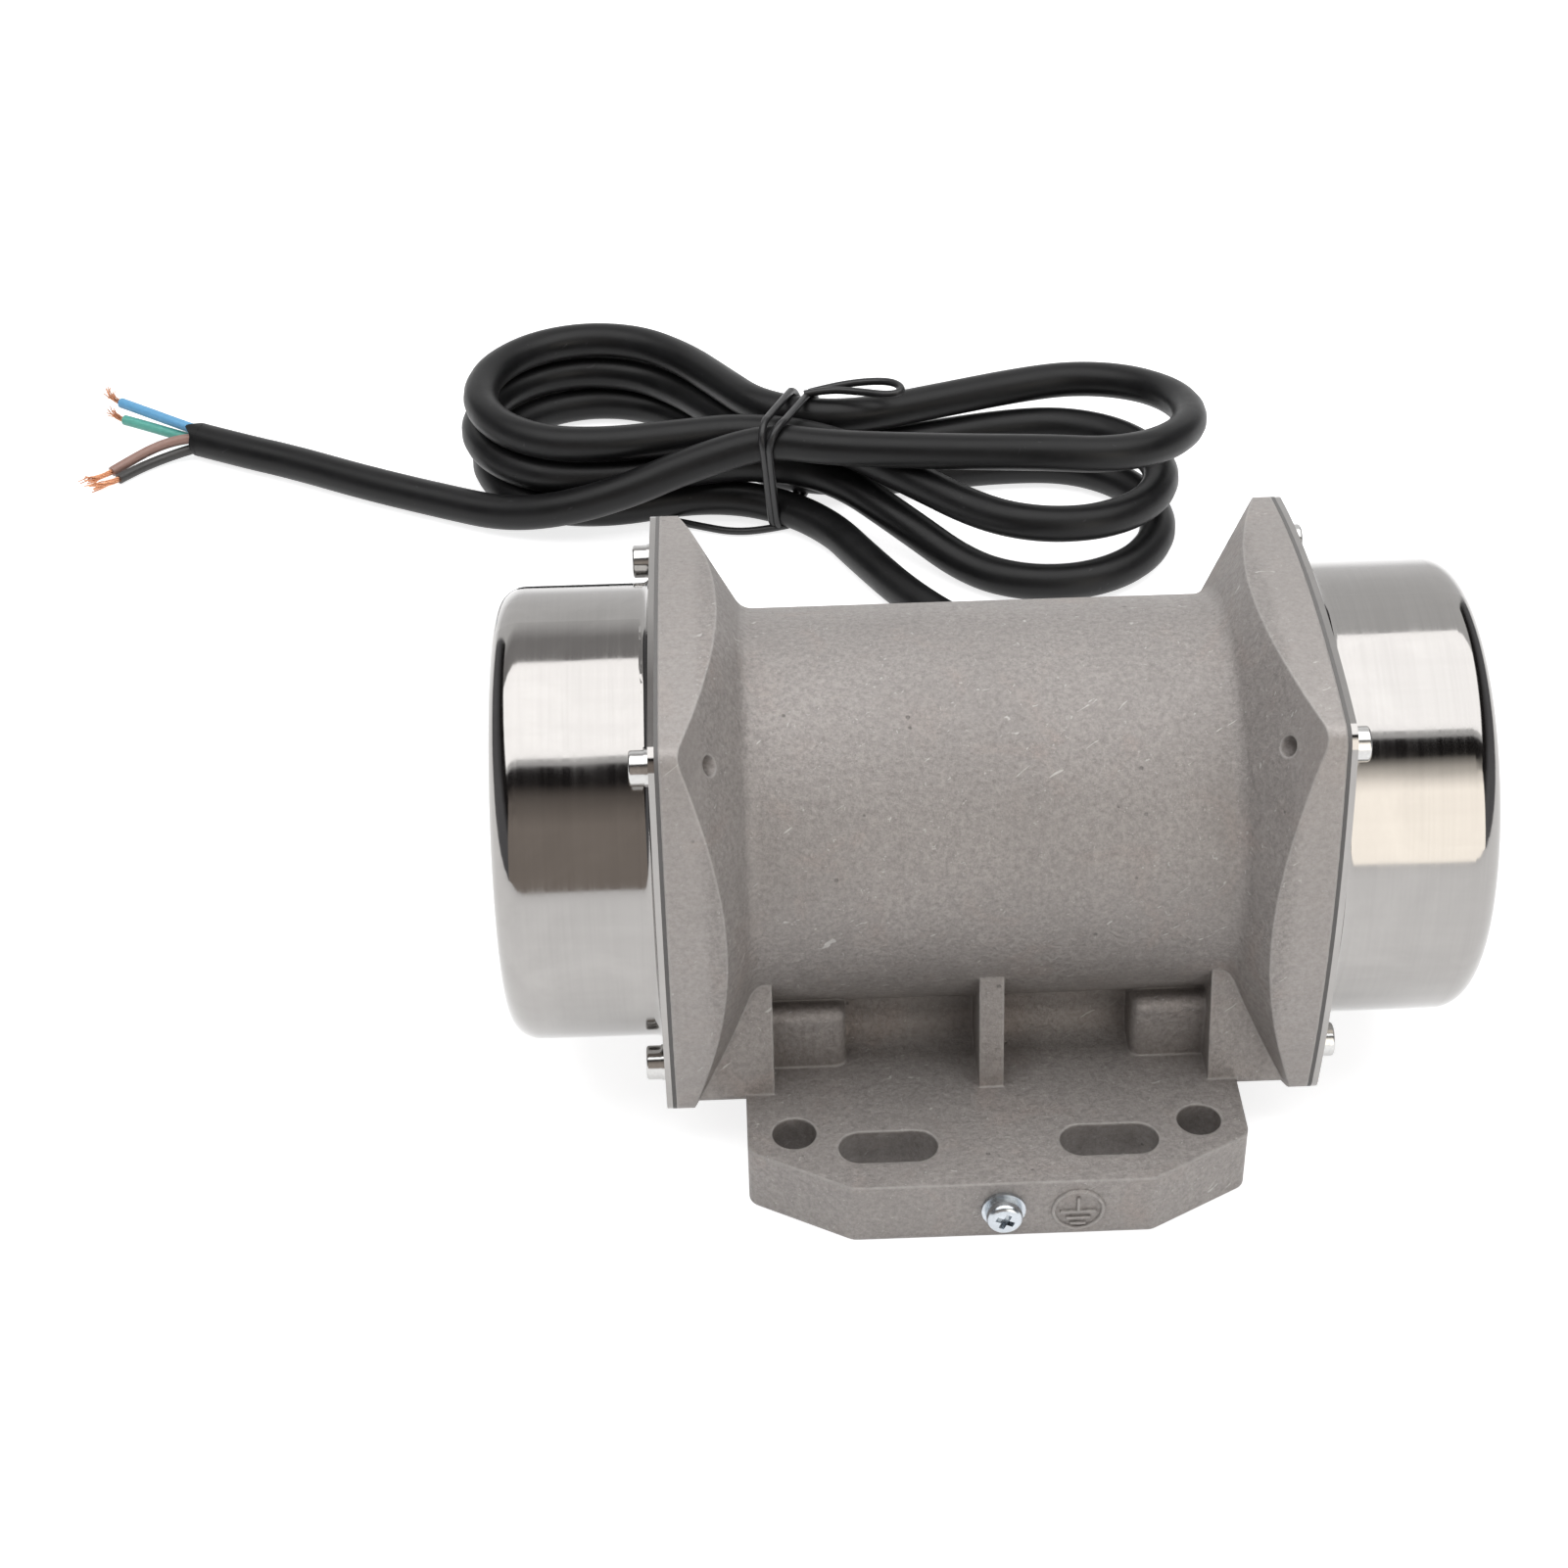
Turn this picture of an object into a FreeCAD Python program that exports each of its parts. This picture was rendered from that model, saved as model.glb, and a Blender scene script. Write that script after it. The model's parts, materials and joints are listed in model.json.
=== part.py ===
import FreeCAD, Part
import math
import os
from types import SimpleNamespace

import Sketcher

# External vibration motor: an aluminium barrel housing on a two-sided foot, with an induction motor
# inside, eccentric weights on both shaft ends under drawn steel covers, and a rubber power cord.
#
# Frame: X along the shaft, +Z up, the origin at the centre of the foot's underside.
# Lengths are in millimetres, angles in degrees. Distances "from the centre" run along the shaft.

SIZES = [
    # foot
    ("foot_length", 101.0, "foot along the shaft"),
    ("foot_depth", 141.0, "foot across the shaft, between its two outer edges"),
    ("foot_thickness", 14.0, "foot plate"),
    ("foot_edge_length", 60.0, "outer edge between its two slanted corners"),
    ("foot_side_depth", 117.6, "straight side between its two slanted corners"),
    ("foot_rounding", 3.5, "radius of the foot's upright corners"),
    ("hole_diameter", 9.0, "mounting holes and width of the mounting slots"),
    ("hole_spacing_x", 82.0, "round holes along the shaft"),
    ("hole_spacing_y", 108.0, "round holes across the shaft"),
    ("slot_spacing_x", 44.5, "slots along the shaft"),
    ("slot_spacing_y", 117.5, "slots across the shaft"),
    ("slot_length", 20.0, "slot from end to end"),
    # barrel and its end flanges
    ("shaft_height", 57.0, "shaft axis above the foot's underside"),
    ("housing_length", 129.4, "housing between its two flange faces"),
    ("barrel_length", 96.2, "cylindrical stretch between the two flares"),
    ("barrel_radius", 41.0, "outside of the barrel"),
    ("flare_radius", 68.2, "cone of the flare where it meets the flange face"),
    ("flare_root_rounding", 4.0, "hollow between barrel and flare"),
    ("flange_corner", 44.7, "flange outline: axis to a corner, along each side"),
    ("flange_bulge", 4.6, "how far the middle of a flange side stands beyond its corners"),
    ("flange_rounding", 4.5, "radius of the flange's corners"),
    # saddle between barrel and foot
    ("neck_half_width", 24.0, "half of the neck across the shaft"),
    ("neck_rounding", 6.0, "hollow between neck and foot"),
    ("pad_half_width", 34.0, "half of the raised pads across the shaft"),
    ("pad_top", 28.5, "top of the pads above the foot's underside"),
    ("pad_edge", 2.4, "rounded edges of the pads"),
    ("pad_start", 29.5, "inner end of the pads from the centre"),
    ("buttress_start", 44.6, "inner face of the end buttresses from the centre"),
    ("buttress_foot_half", 42.0, "half width of buttress and rib at the foot"),
    ("buttress_top_half", 36.6, "half width of buttress and rib at the barrel"),
    ("buttress_height", 40.0, "top of buttress and rib above the foot's underside"),
    ("rib_thickness", 5.0, "middle rib along the shaft"),
    # bores of the housing
    ("stator_radius", 36.0, "outside of the stator core and bore of the housing"),
    ("shield_radius", 43.6, "outside of the end shields"),
    ("shield_thickness", 7.0, "plate of the end shields"),
    # screws
    ("cover_screw_offset", 37.3, "cover screws from the axis, up and across"),
    ("screw_radius", 2.0, "M4 shank"),
    ("screw_head_radius", 3.5, "M4 head"),
    ("screw_head_height", 3.1, "M4 low head"),
    ("screw_socket_radius", 1.45, "hexagon socket, centre to corner"),
    ("screw_socket_depth", 1.8, "hexagon socket"),
    ("screw_hole_gap", 0.05, "between a screw's shank and its hole, all round"),
    ("cover_screw_reach", 7.5, "cover screw below the flange face"),
    ("spring_washer_thickness", 0.9, "spring washer under a screw head"),
    ("washer_radius", 3.7, "outside of the spring washers"),
    ("shield_screw_circle", 39.4, "pitch radius of the end shield's screws"),
    ("shield_screw_reach", 6.0, "end shield's screw below the shield"),
    # covers
    ("gasket_thickness", 0.8, "gasket between flange and cover"),
    ("cover_sheet", 1.2, "sheet of the covers"),
    ("cup_radius", 47.0, "outside of the cover's cup"),
    ("cup_length", 33.7, "end of the cup from the flange face"),
    ("cup_end_rounding", 6.0, "outer radius at the cup's closed end"),
    ("cup_root_rounding", 1.9, "radius between cup and cover plate"),
    # bearings, 15 x 35 x 11 mm
    ("bearing_bore_radius", 7.5, "shaft seat of the bearing"),
    ("bearing_radius", 17.5, "outside of the bearing"),
    ("bearing_width", 11.0, "bearing along the shaft"),
    ("bearing_hub_radius", 22.5, "hub of the end shield round the bearing"),
    ("ball_radius", 2.95, "bearing ball"),
    ("ball_circle", 12.5, "pitch radius of the balls"),
    ("ball_gap", 0.05, "between ball and race"),
    ("ball_count", 8, "balls in a bearing"),
    ("race_land", 1.9, "land of a race from the pitch radius"),
    ("cage_half_width", 3.8, "half of the ball cage along the shaft"),
    ("cage_half_height", 0.8, "half of the ball cage across the pitch radius"),
    ("shield_lip_thickness", 1.3, "lip that holds the bearing in its shield"),
    ("shield_lip_radius", 13.6, "opening of the lip"),
    ("wave_spring_thickness", 1.2, "preload spring beside the right bearing"),
    # rotor
    ("core_half_length", 26.0, "half of the laminated cores along the shaft"),
    ("rotor_radius", 21.1, "outside of the rotor"),
    ("air_gap", 0.4, "between rotor and stator"),
    ("rotor_shaft_radius", 10.0, "shaft through the rotor and up to the bearings"),
    ("rotor_bar_radius", 1.7, "bars of the rotor cage"),
    ("rotor_bar_circle", 18.2, "pitch radius of the rotor bars"),
    ("rotor_bar_count", 14, "bars of the rotor cage"),
    ("end_ring_length", 6.0, "end ring of the rotor cage along the shaft"),
    ("end_ring_bore", 14.0, "bore of the end ring"),
    ("stator_slot_count", 12, "slots of the stator core"),
    ("stator_slot_radius", 2.6, "round bottom of a stator slot"),
    ("stator_slot_circle", 28.5, "pitch radius of the stator slots"),
    ("winding_gap", 0.2, "between winding and slot"),
    ("winding_overhang", 16.0, "end turns beyond the core"),
    ("winding_inner", 24.5, "inside of the end turns"),
    ("winding_outer", 33.0, "outside of the end turns"),
    # eccentric weights on the shaft ends
    ("seat_radius", 6.5, "shaft end that carries the weights"),
    ("seat_start", 1.8, "shaft shoulder from the flange face"),
    ("shaft_end", 29.4, "end of the shaft from the flange face"),
    ("weight_radius", 41.0, "eccentric weights"),
    ("weight_chord", 3.0, "straight edge of a weight below the axis"),
    ("fixed_weight_width", 12.0, "keyed weight along the shaft"),
    ("loose_weight_width", 10.6, "adjustable weight along the shaft"),
    ("weight_gap", 0.4, "between weights and beside them"),
    ("weight_bore_gap", 0.05, "between shaft and adjustable weight"),
    ("hub_half_width", 12.5, "clamp hub of a weight across the shaft"),
    ("hub_top", 19.0, "clamp hub above the axis"),
    ("hub_rounding", 5.0, "upper corners of the clamp hub"),
    ("clamp_slit", 2.4, "slit through the clamp hub"),
    ("clamp_bolt_height", 12.8, "clamp bolt above the axis"),
    ("clamp_bolt_radius", 2.5, "M5 clamp bolt"),
    ("clamp_head_radius", 4.25, "head of the clamp bolt"),
    ("clamp_head_height", 5.0, "head of the clamp bolt"),
    ("clamp_nut_radius", 4.6, "nut of the clamp bolt, centre to corner"),
    ("clamp_nut_height", 4.0, "nut of the clamp bolt"),
    ("key_width", 4.0, "shaft key"),
    ("key_length", 9.0, "shaft key along the shaft"),
    ("key_bottom", 4.2, "key seat from the axis"),
    ("key_top", 8.2, "outside of the key from the axis"),
    ("circlip_thickness", 1.0, "retaining ring"),
    ("circlip_radius", 9.0, "retaining ring"),
    ("circlip_groove", 5.9, "bottom of the retaining ring's groove"),
    ("circlip_slit", 3.5, "opening of the retaining ring"),
    # earth screw on the foot's front face
    ("earth_screw_x", 0.0, "earth screw along the shaft"),
    ("earth_screw_z", 7.3, "earth screw above the foot's underside"),
    ("earth_head_radius", 3.6, "pan head"),
    ("earth_head_height", 2.2, "pan head"),
    ("earth_head_rounding", 1.2, "edge of the pan head"),
    ("earth_screw_reach", 9.0, "earth screw in the foot"),
    ("earth_washer_radius", 4.4, "flat washer"),
    ("earth_washer_thickness", 0.8, "flat washer"),
    # cable gland on the back of the barrel
    ("gland_x", 32.0, "gland along the shaft"),
    ("gland_z", 38.0, "gland above the foot's underside"),
    ("gland_boss_radius", 11.0, "boss on the barrel"),
    ("gland_boss_face", 46.0, "face of the boss from the shaft plane"),
    ("gland_boss_root", 30.0, "where the boss starts inside the barrel's wall"),
    ("gland_thread_radius", 8.0, "gland thread"),
    ("gland_thread_length", 8.0, "gland thread in the boss"),
    ("gland_collar_corner", 10.4, "hexagon collar, centre to corner"),
    ("gland_collar_length", 5.0, "hexagon collar"),
    ("gland_nut_radius", 9.4, "cap nut"),
    ("gland_nut_nose_radius", 7.0, "outer end of the cap nut"),
    ("gland_nut_length", 14.0, "cap nut"),
    ("gland_seal_radius", 6.4, "rubber seal"),
    ("gland_seal_length", 10.0, "rubber seal"),
    # power cord
    ("cord_radius", 4.9, "rubber jacket"),
    ("wire_radius", 1.5, "insulation of each core"),
    ("strand_radius", 0.9, "bare copper of each core"),
    ("hank_x", -31.0, "tie of the hank along the shaft"),
    ("hank_y", 219.0, "tie of the hank behind the shaft"),
    ("hank_turn", -19.0, "hank about Z"),
    ("hank_left", 65.5, "left loops from the tie"),
    ("hank_left_shift", 3.0, "left loops across the hank"),
    ("hank_right", 74.0, "right loops from the tie"),
    ("hank_right_shift", 3.0, "right loops across the hank"),
    ("hank_left_radius", 34.3, "outside of the left loops"),
    ("hank_right_radius", 36.5, "outside of the right loops"),
    ("hank_height", 30.0, "three turns on each other"),
    ("waist_near", 19.3, "waist on the motor's side, from the hank's middle"),
    ("waist_far", 9.9, "waist on the far side, from the hank's middle"),
    ("waist_half_length", 12.0, "half of the straight stretch at the tie"),
    ("waist_height", 34.0, "top of the waist, over the last strand"),
    ("hank_lift", 2.0, "waist above the floor, room for the tie"),
    ("tie_thickness", 1.6, "wire tie"),
    ("tie_width", 5.5, "two wraps of the tie side by side"),
]

X_AXIS = FreeCAD.Vector(1, 0, 0)
Z_AXIS = FreeCAD.Vector(0, 0, 1)
SIDES = (("left", -1), ("right", 1))


class Size:
    """A length taken from the sheet: its value now, and the formula that binds a property to it."""

    def __init__(self, value, formula):
        self.value = value
        self.formula = formula

    def join(self, other, sign, value):
        return Size(value, f"({self.formula} {sign} {formula_of(other)})")

    def __add__(self, other):
        return self.join(other, "+", self.value + value_of(other))

    def __sub__(self, other):
        return self.join(other, "-", self.value - value_of(other))

    def __mul__(self, other):
        return self.join(other, "*", self.value * value_of(other))

    def __truediv__(self, other):
        return self.join(other, "/", self.value / value_of(other))

    def __neg__(self):
        return self * -1

    __radd__ = __add__
    __rmul__ = __mul__

    def root(self):
        return Size(math.sqrt(self.value), f"sqrt({self.formula})")


def value_of(size):
    return size.value if isinstance(size, Size) else size


def formula_of(size):
    return size.formula if isinstance(size, Size) else f"({size})"


def fill_sheet(doc):
    """Writes the sheet and returns its sizes by name."""
    sheet = doc.addObject("Spreadsheet::Sheet", "dims")
    for row, (alias, number, note) in enumerate(SIZES, start=1):
        sheet.set(f"A{row}", note)
        sheet.set(f"B{row}", str(number))
        sheet.setAlias(f"B{row}", alias)
    doc.recompute()
    return SimpleNamespace(**{alias: Size(number, f"dims.{alias}") for alias, number, note in SIZES})


doc = FreeCAD.newDocument("vibration_motor")
d = fill_sheet(doc)
subparts = []


# ---------------------------------------------------------------- helpers


def vector(x, y, z=0.0):
    return FreeCAD.Vector(value_of(x), value_of(y), value_of(z))


def bind(target, name, size):
    """Sets a property, and keeps it bound to the sheet where the size comes from there."""
    if isinstance(size, Size):
        target.setExpression(name, size.formula)
    else:
        setattr(target, name, size)


def constrain(sketch, kind, *where):
    """Adds a constraint whose last argument is its size."""
    *references, size = where
    index = sketch.addConstraint(Sketcher.Constraint(kind, *references, value_of(size)))
    if isinstance(size, Size):
        sketch.setExpression(f"Constraints[{index}]", size.formula)


def new_body(name, x=0, y=0, z=0, axis=Z_AXIS, turn=0):
    """Starts a sub-part; its Label names its file."""
    body = doc.addObject("PartDesign::Body", name)
    body.Label = name
    body.Placement = FreeCAD.Placement(vector(x, y, z), FreeCAD.Rotation(axis, value_of(turn)))
    for letter, size in (("x", x), ("y", y), ("z", z)):
        if isinstance(size, Size):
            body.setExpression(f"Placement.Base.{letter}", size.formula)
    if isinstance(turn, Size):
        body.setExpression("Placement.Rotation.Angle", turn.formula)
    subparts.append(body)
    return body


def shaft_body(name, side=1):
    """A sub-part whose X axis is the shaft's, turned about Z where it belongs to the left end."""
    return new_body(name, z=d.shaft_height, turn=0 if side > 0 else 180)


def origin_feature(body, role):
    return next(feature for feature in body.Origin.OriginFeatures if feature.Role == role)


def attach(item, body, plane, right, up, out):
    """Lays an item on one of the body's origin planes, moved in the plane and along its normal."""
    item.AttachmentSupport = [(origin_feature(body, plane), "")]
    item.MapMode = "FlatFace"
    item.AttachmentOffset = FreeCAD.Placement(vector(right, up, out), FreeCAD.Rotation())
    for letter, size in (("x", right), ("y", up), ("z", out)):
        if isinstance(size, Size):
            item.setExpression(f"AttachmentOffset.Base.{letter}", size.formula)
    return item


def new_sketch(body, plane, right=0, up=0, out=0):
    sketch = body.newObject("Sketcher::SketchObject", f"{body.Name}_sketch")
    return attach(sketch, body, plane, right, up, out)


def draw_outline(sketch, corners):
    """A closed outline. A corner is (x, y), or (x, y, radius, turn) where an arc runs to the next one:
    turn is 1 where that arc goes anticlockwise and -1 where it goes clockwise. A half circle stands
    on an upright chord."""
    pieces = []
    for index, corner in enumerate(corners):
        following = corners[(index + 1) % len(corners)]
        start = vector(corner[0], corner[1])
        finish = vector(following[0], following[1])
        if len(corner) == 2:
            pieces.append((sketch.addGeometry(Part.LineSegment(start, finish), False), 1, 2))
            continue
        radius = value_of(corner[2])
        turn = corner[3]
        chord = finish - start
        height = math.sqrt(max(radius ** 2 - (chord.Length / 2) ** 2, 0.0))
        inward = FreeCAD.Vector(-chord.y, chord.x, 0).normalize() * (turn * height)
        centre = start + chord * 0.5 + inward
        first, last = (start, finish) if turn > 0 else (finish, start)
        angles = [math.atan2(point.y - centre.y, point.x - centre.x) for point in (first, last)]
        arc = Part.ArcOfCircle(Part.Circle(centre, Z_AXIS, radius), angles[0], angles[1])
        pieces.append((sketch.addGeometry(arc, False), 1 if turn > 0 else 2, 2 if turn > 0 else 1))
    for index, (piece, start_end, finish_end) in enumerate(pieces):
        following, following_start, _ = pieces[(index + 1) % len(pieces)]
        sketch.addConstraint(
            Sketcher.Constraint("Coincident", piece, finish_end, following, following_start))
    for corner, (piece, start_end, finish_end) in zip(corners, pieces):
        constrain(sketch, "DistanceX", -1, 1, piece, start_end, corner[0])
        constrain(sketch, "DistanceY", -1, 1, piece, start_end, corner[1])
        if len(corner) > 2 and is_half_circle(sketch.Geometry[piece]):
            constrain(sketch, "DistanceX", -1, 1, piece, 3, corner[0])
        elif len(corner) > 2:
            constrain(sketch, "Radius", piece, corner[2])


def is_half_circle(arc):
    return near((arc.StartPoint - arc.EndPoint).Length, arc.Radius * 2)


def draw_circle(sketch, x, y, radius):
    circle = sketch.addGeometry(Part.Circle(vector(x, y), Z_AXIS, value_of(radius)), False)
    constrain(sketch, "DistanceX", -1, 1, circle, 3, x)
    constrain(sketch, "DistanceY", -1, 1, circle, 3, y)
    constrain(sketch, "Radius", circle, radius)


def draw_slot(sketch, x, y, length, radius):
    """A slot along the sketch's X axis, length from end to end."""
    reach = length / 2 - radius
    draw_outline(sketch, [
        (x - reach, y - radius), (x + reach, y - radius, radius, 1),
        (x + reach, y + radius), (x - reach, y + radius, radius, 1)])


def draw_hexagon(sketch, x, y, corner_radius):
    draw_outline(sketch, [
        (x + corner_radius * math.cos(math.radians(60 * k)), y + corner_radius * math.sin(math.radians(60 * k)))
        for k in range(6)])


def feature(kind, body, sketch, **settings):
    """Adds a sketch-based feature and checks that it changed the body as its kind says."""
    before = body.Shape.Volume if body.Tip else 0.0
    made = body.newObject(f"PartDesign::{kind}", f"{body.Name}_{kind.lower()}")
    made.Profile = sketch
    for name, size in settings.items():
        bind(made, name, size)
    body.Tip = made
    doc.recompute()
    grows = kind in ("Pad", "Revolution")
    change = body.Shape.Volume - before
    if (change > 0) != grows:
        raise ValueError(f"{made.Name} changes the volume of {body.Label} by {change:.3f}")
    return made


def pad(body, sketch, length, **settings):
    return feature("Pad", body, sketch, Length=length, **settings)


def pocket(body, sketch, length, **settings):
    return feature("Pocket", body, sketch, Length=length, **settings)


def revolve(body, sketch):
    return feature("Revolution", body, sketch, ReferenceAxis=(sketch, ["H_Axis"]), Angle=360.0)


def groove(body, sketch):
    return feature("Groove", body, sketch, ReferenceAxis=(sketch, ["H_Axis"]), Angle=360.0)


def fillet(body, radius, wanted):
    """Rounds the edges of the body's tip for which wanted(edge) holds."""
    base = body.Tip
    names = [f"Edge{index}" for index, edge in enumerate(base.Shape.Edges, start=1) if wanted(edge)]
    if not names:
        raise ValueError(f"no edge to round on {body.Label}")
    made = body.newObject("PartDesign::Fillet", f"{body.Name}_fillet")
    made.Base = (base, names)
    bind(made, "Radius", radius)
    body.Tip = made
    doc.recompute()
    return made


def polar(body, count, originals=None, axis="X_Axis"):
    """Repeats the named features, or the whole body, round one of its origin axes."""
    made = body.newObject("PartDesign::PolarPattern", f"{body.Name}_pattern")
    if originals:
        made.Originals = originals
    else:
        made.TransformMode = "Whole shape"
    made.Axis = (origin_feature(body, axis), [""])
    made.Angle = 360
    bind(made, "Occurrences", count)
    body.Tip = made
    doc.recompute()
    return made


def join(body, other):
    """Fuses another body into this one."""
    made = body.newObject("PartDesign::Boolean", f"{body.Name}_join")
    made.Type = "Fuse"
    made.setObjects([other])
    body.Tip = made
    doc.recompute()
    return made


def near(first, second):
    return abs(value_of(first) - value_of(second)) < 1e-4


def is_circle(edge, radius, x=None):
    """True for a circular edge of that radius, and in that plane across the X axis where x is given."""
    if edge.Curve.TypeId != "Part::GeomCircle" or not near(edge.Curve.Radius, radius):
        return False
    return x is None or near(edge.Curve.Center.x, x)


def is_upright(edge):
    """True for a straight edge along Z."""
    if edge.Curve.TypeId != "Part::GeomLine":
        return False
    return abs(edge.Curve.Direction.z) > 0.999


def revolved_ring(name, side, start, finish, inner, outer):
    """A plain ring round the shaft."""
    body = shaft_body(name, side)
    sketch = new_sketch(body, "XZ_Plane")
    draw_outline(sketch, [(start, inner), (finish, inner), (finish, outer), (start, outer)])
    revolve(body, sketch)
    return body


# ---------------------------------------------------------------- places worked out from the sizes

flange_face = d.housing_length / 2
shield_seat = flange_face - d.shield_thickness
lip_seat = flange_face - d.shield_lip_thickness
plate_start = flange_face + d.gasket_thickness
plate_face = plate_start + d.cover_sheet
cup_end = flange_face + d.cup_length
cup_inside = d.cup_radius - d.cover_sheet
screw_hole = d.screw_radius + d.screw_hole_gap
foot_front = d.foot_depth / 2
bearing_near = {"left": lip_seat - d.bearing_width,
                "right": lip_seat - d.wave_spring_thickness - d.bearing_width}
hub_start = bearing_near["right"] - 0.5
seat_start = flange_face + d.seat_start
fixed_start = seat_start
fixed_end = fixed_start + d.fixed_weight_width
loose_start = fixed_end + d.weight_gap
loose_end = loose_start + d.loose_weight_width
circlip_start = loose_end + d.weight_gap
circlip_end = circlip_start + d.circlip_thickness
shaft_end = flange_face + d.shaft_end


def draw_flange_outline(sketch):
    """The square outline with bulging sides and rounded corners that flange, gasket and cover share."""
    half = d.flange_corner
    side_radius = (half * half + d.flange_bulge * d.flange_bulge) / (d.flange_bulge * 2)
    depth = side_radius - half - d.flange_bulge
    reach = side_radius - d.flange_rounding
    corner = ((reach * reach * 2 - depth * depth).root() - depth) / 2
    ratio = side_radius / reach
    far = (corner + depth) * ratio - depth
    close = corner * ratio
    corners = []
    for x, y in ((far, close), (close, far)):
        corners.append((x, y))
    outline = []
    for quarter in range(4):
        for step, (x, y) in enumerate(corners):
            turned = ((x, y), (-y, x), (-x, -y), (y, -x))[quarter]
            outline.append((*turned, d.flange_rounding if step == 0 else side_radius, 1))
    draw_outline(sketch, outline)


def draw_corner_circles(sketch, radius):
    for y in (-d.cover_screw_offset, d.cover_screw_offset):
        for z in (-d.cover_screw_offset, d.cover_screw_offset):
            draw_circle(sketch, y, z, radius)


# ---------------------------------------------------------------- housing


def draw_saddle(sketch, half_width, rounding):
    """Neck section: upright sides that run out into the foot in a hollow."""
    top = d.shaft_height - d.barrel_radius / 2
    base = d.foot_thickness - 1
    out = half_width + rounding
    knee = d.foot_thickness + rounding
    draw_outline(sketch, [
        (out, base), (out, d.foot_thickness, rounding, -1), (half_width, knee), (half_width, top),
        (-half_width, top), (-half_width, knee, rounding, -1), (-out, d.foot_thickness), (-out, base)])


def draw_pads(sketch):
    """Section of the raised pads, which stand on the foot on both sides of the neck."""
    half, top, edge = d.pad_half_width, d.pad_top, d.pad_edge
    base = d.foot_thickness - 1
    draw_outline(sketch, [
        (half, base), (half, top - edge, edge, 1), (half - edge, top),
        (edge - half, top, edge, 1), (-half, top - edge), (-half, base)])


def is_pad_corner(edge):
    """True for the upright edge at a pad's inner end."""
    place = edge.CenterOfMass
    return is_upright(edge) and near(abs(place.x), d.pad_start) and near(abs(place.y), d.pad_half_width)


def draw_buttress(sketch):
    base = d.foot_thickness - 1
    draw_outline(sketch, [
        (d.buttress_foot_half, base), (d.buttress_foot_half, d.foot_thickness),
        (d.buttress_top_half, d.buttress_height), (-d.buttress_top_half, d.buttress_height),
        (-d.buttress_foot_half, d.foot_thickness), (-d.buttress_foot_half, base)])


def make_foot(body):
    side, front = d.foot_length / 2, d.foot_depth / 2
    edge, flank = d.foot_edge_length / 2, d.foot_side_depth / 2
    sketch = new_sketch(body, "XY_Plane")
    draw_outline(sketch, [
        (edge, -front), (side, -flank), (side, flank), (edge, front),
        (-edge, front), (-side, flank), (-side, -flank), (-edge, -front)])
    pad(body, sketch, d.foot_thickness)
    fillet(body, d.foot_rounding, lambda edge: is_upright(edge) and near(edge.Length, d.foot_thickness))


def make_barrel(body):
    """Barrel with its two flares, trimmed to the flange outline."""
    root = d.barrel_length / 2
    run, rise = flange_face - root, d.flare_radius - d.barrel_radius
    slant = (run * run + rise * rise).root()
    hollow = d.flare_root_rounding
    cut = hollow * rise / (slant + run)
    half = [(flange_face, 0), (flange_face, d.flare_radius),
            (root + cut * run / slant, d.barrel_radius + cut * rise / slant, hollow, -1),
            (root - cut, d.barrel_radius)]
    mirrored = [(cut - root, d.barrel_radius, hollow, -1),
                (-root - cut * run / slant, d.barrel_radius + cut * rise / slant),
                (-flange_face, d.flare_radius), (-flange_face, 0)]
    sketch = new_sketch(body, "XZ_Plane", up=d.shaft_height)
    draw_outline(sketch, half + mirrored)
    revolve(body, sketch)
    trim = new_sketch(body, "YZ_Plane", up=d.shaft_height)
    draw_circle(trim, 0, 0, d.flare_radius + 5)
    draw_flange_outline(trim)
    pocket(body, trim, d.housing_length + 2, SideType="Symmetric")


def make_saddle(body):
    """Neck, raised pads, end buttresses and middle rib between barrel and foot."""
    neck = new_sketch(body, "YZ_Plane")
    draw_saddle(neck, d.neck_half_width, d.neck_rounding)
    pad(body, neck, d.buttress_start * 2 + 2, SideType="Symmetric")
    for side in (-1, 1):
        raised = new_sketch(body, "YZ_Plane", out=d.pad_start * side)
        draw_pads(raised)
        pad(body, raised, d.buttress_start - d.pad_start + 1, Reversed=side < 0)
        buttress = new_sketch(body, "YZ_Plane", out=d.buttress_start * side)
        draw_buttress(buttress)
        pad(body, buttress, flange_face - d.buttress_start - 2, Reversed=side < 0)
    fillet(body, d.pad_edge, is_pad_corner)
    rib = new_sketch(body, "YZ_Plane")
    draw_buttress(rib)
    pad(body, rib, d.rib_thickness, SideType="Symmetric")


def make_gland_boss(body):
    boss = new_sketch(body, "XZ_Plane", out=-d.gland_boss_root)
    draw_circle(boss, d.gland_x, d.gland_z, d.gland_boss_radius)
    pad(body, boss, d.gland_boss_face - d.gland_boss_root, Reversed=True)
    hole = new_sketch(body, "XZ_Plane", out=-d.gland_boss_face)
    draw_circle(hole, d.gland_x, d.gland_z, d.gland_thread_radius)
    pocket(body, hole, d.gland_boss_face - d.stator_radius / 2, Reversed=True)


def bore_housing(body):
    """Bore for the stator, with a wider seat for the end shield at each end."""
    past = flange_face + 1
    sketch = new_sketch(body, "XZ_Plane", up=d.shaft_height)
    draw_outline(sketch, [
        (-past, 0), (past, 0), (past, d.shield_radius), (shield_seat, d.shield_radius),
        (shield_seat, d.stator_radius), (-shield_seat, d.stator_radius),
        (-shield_seat, d.shield_radius), (-past, d.shield_radius)])
    groove(body, sketch)


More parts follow.
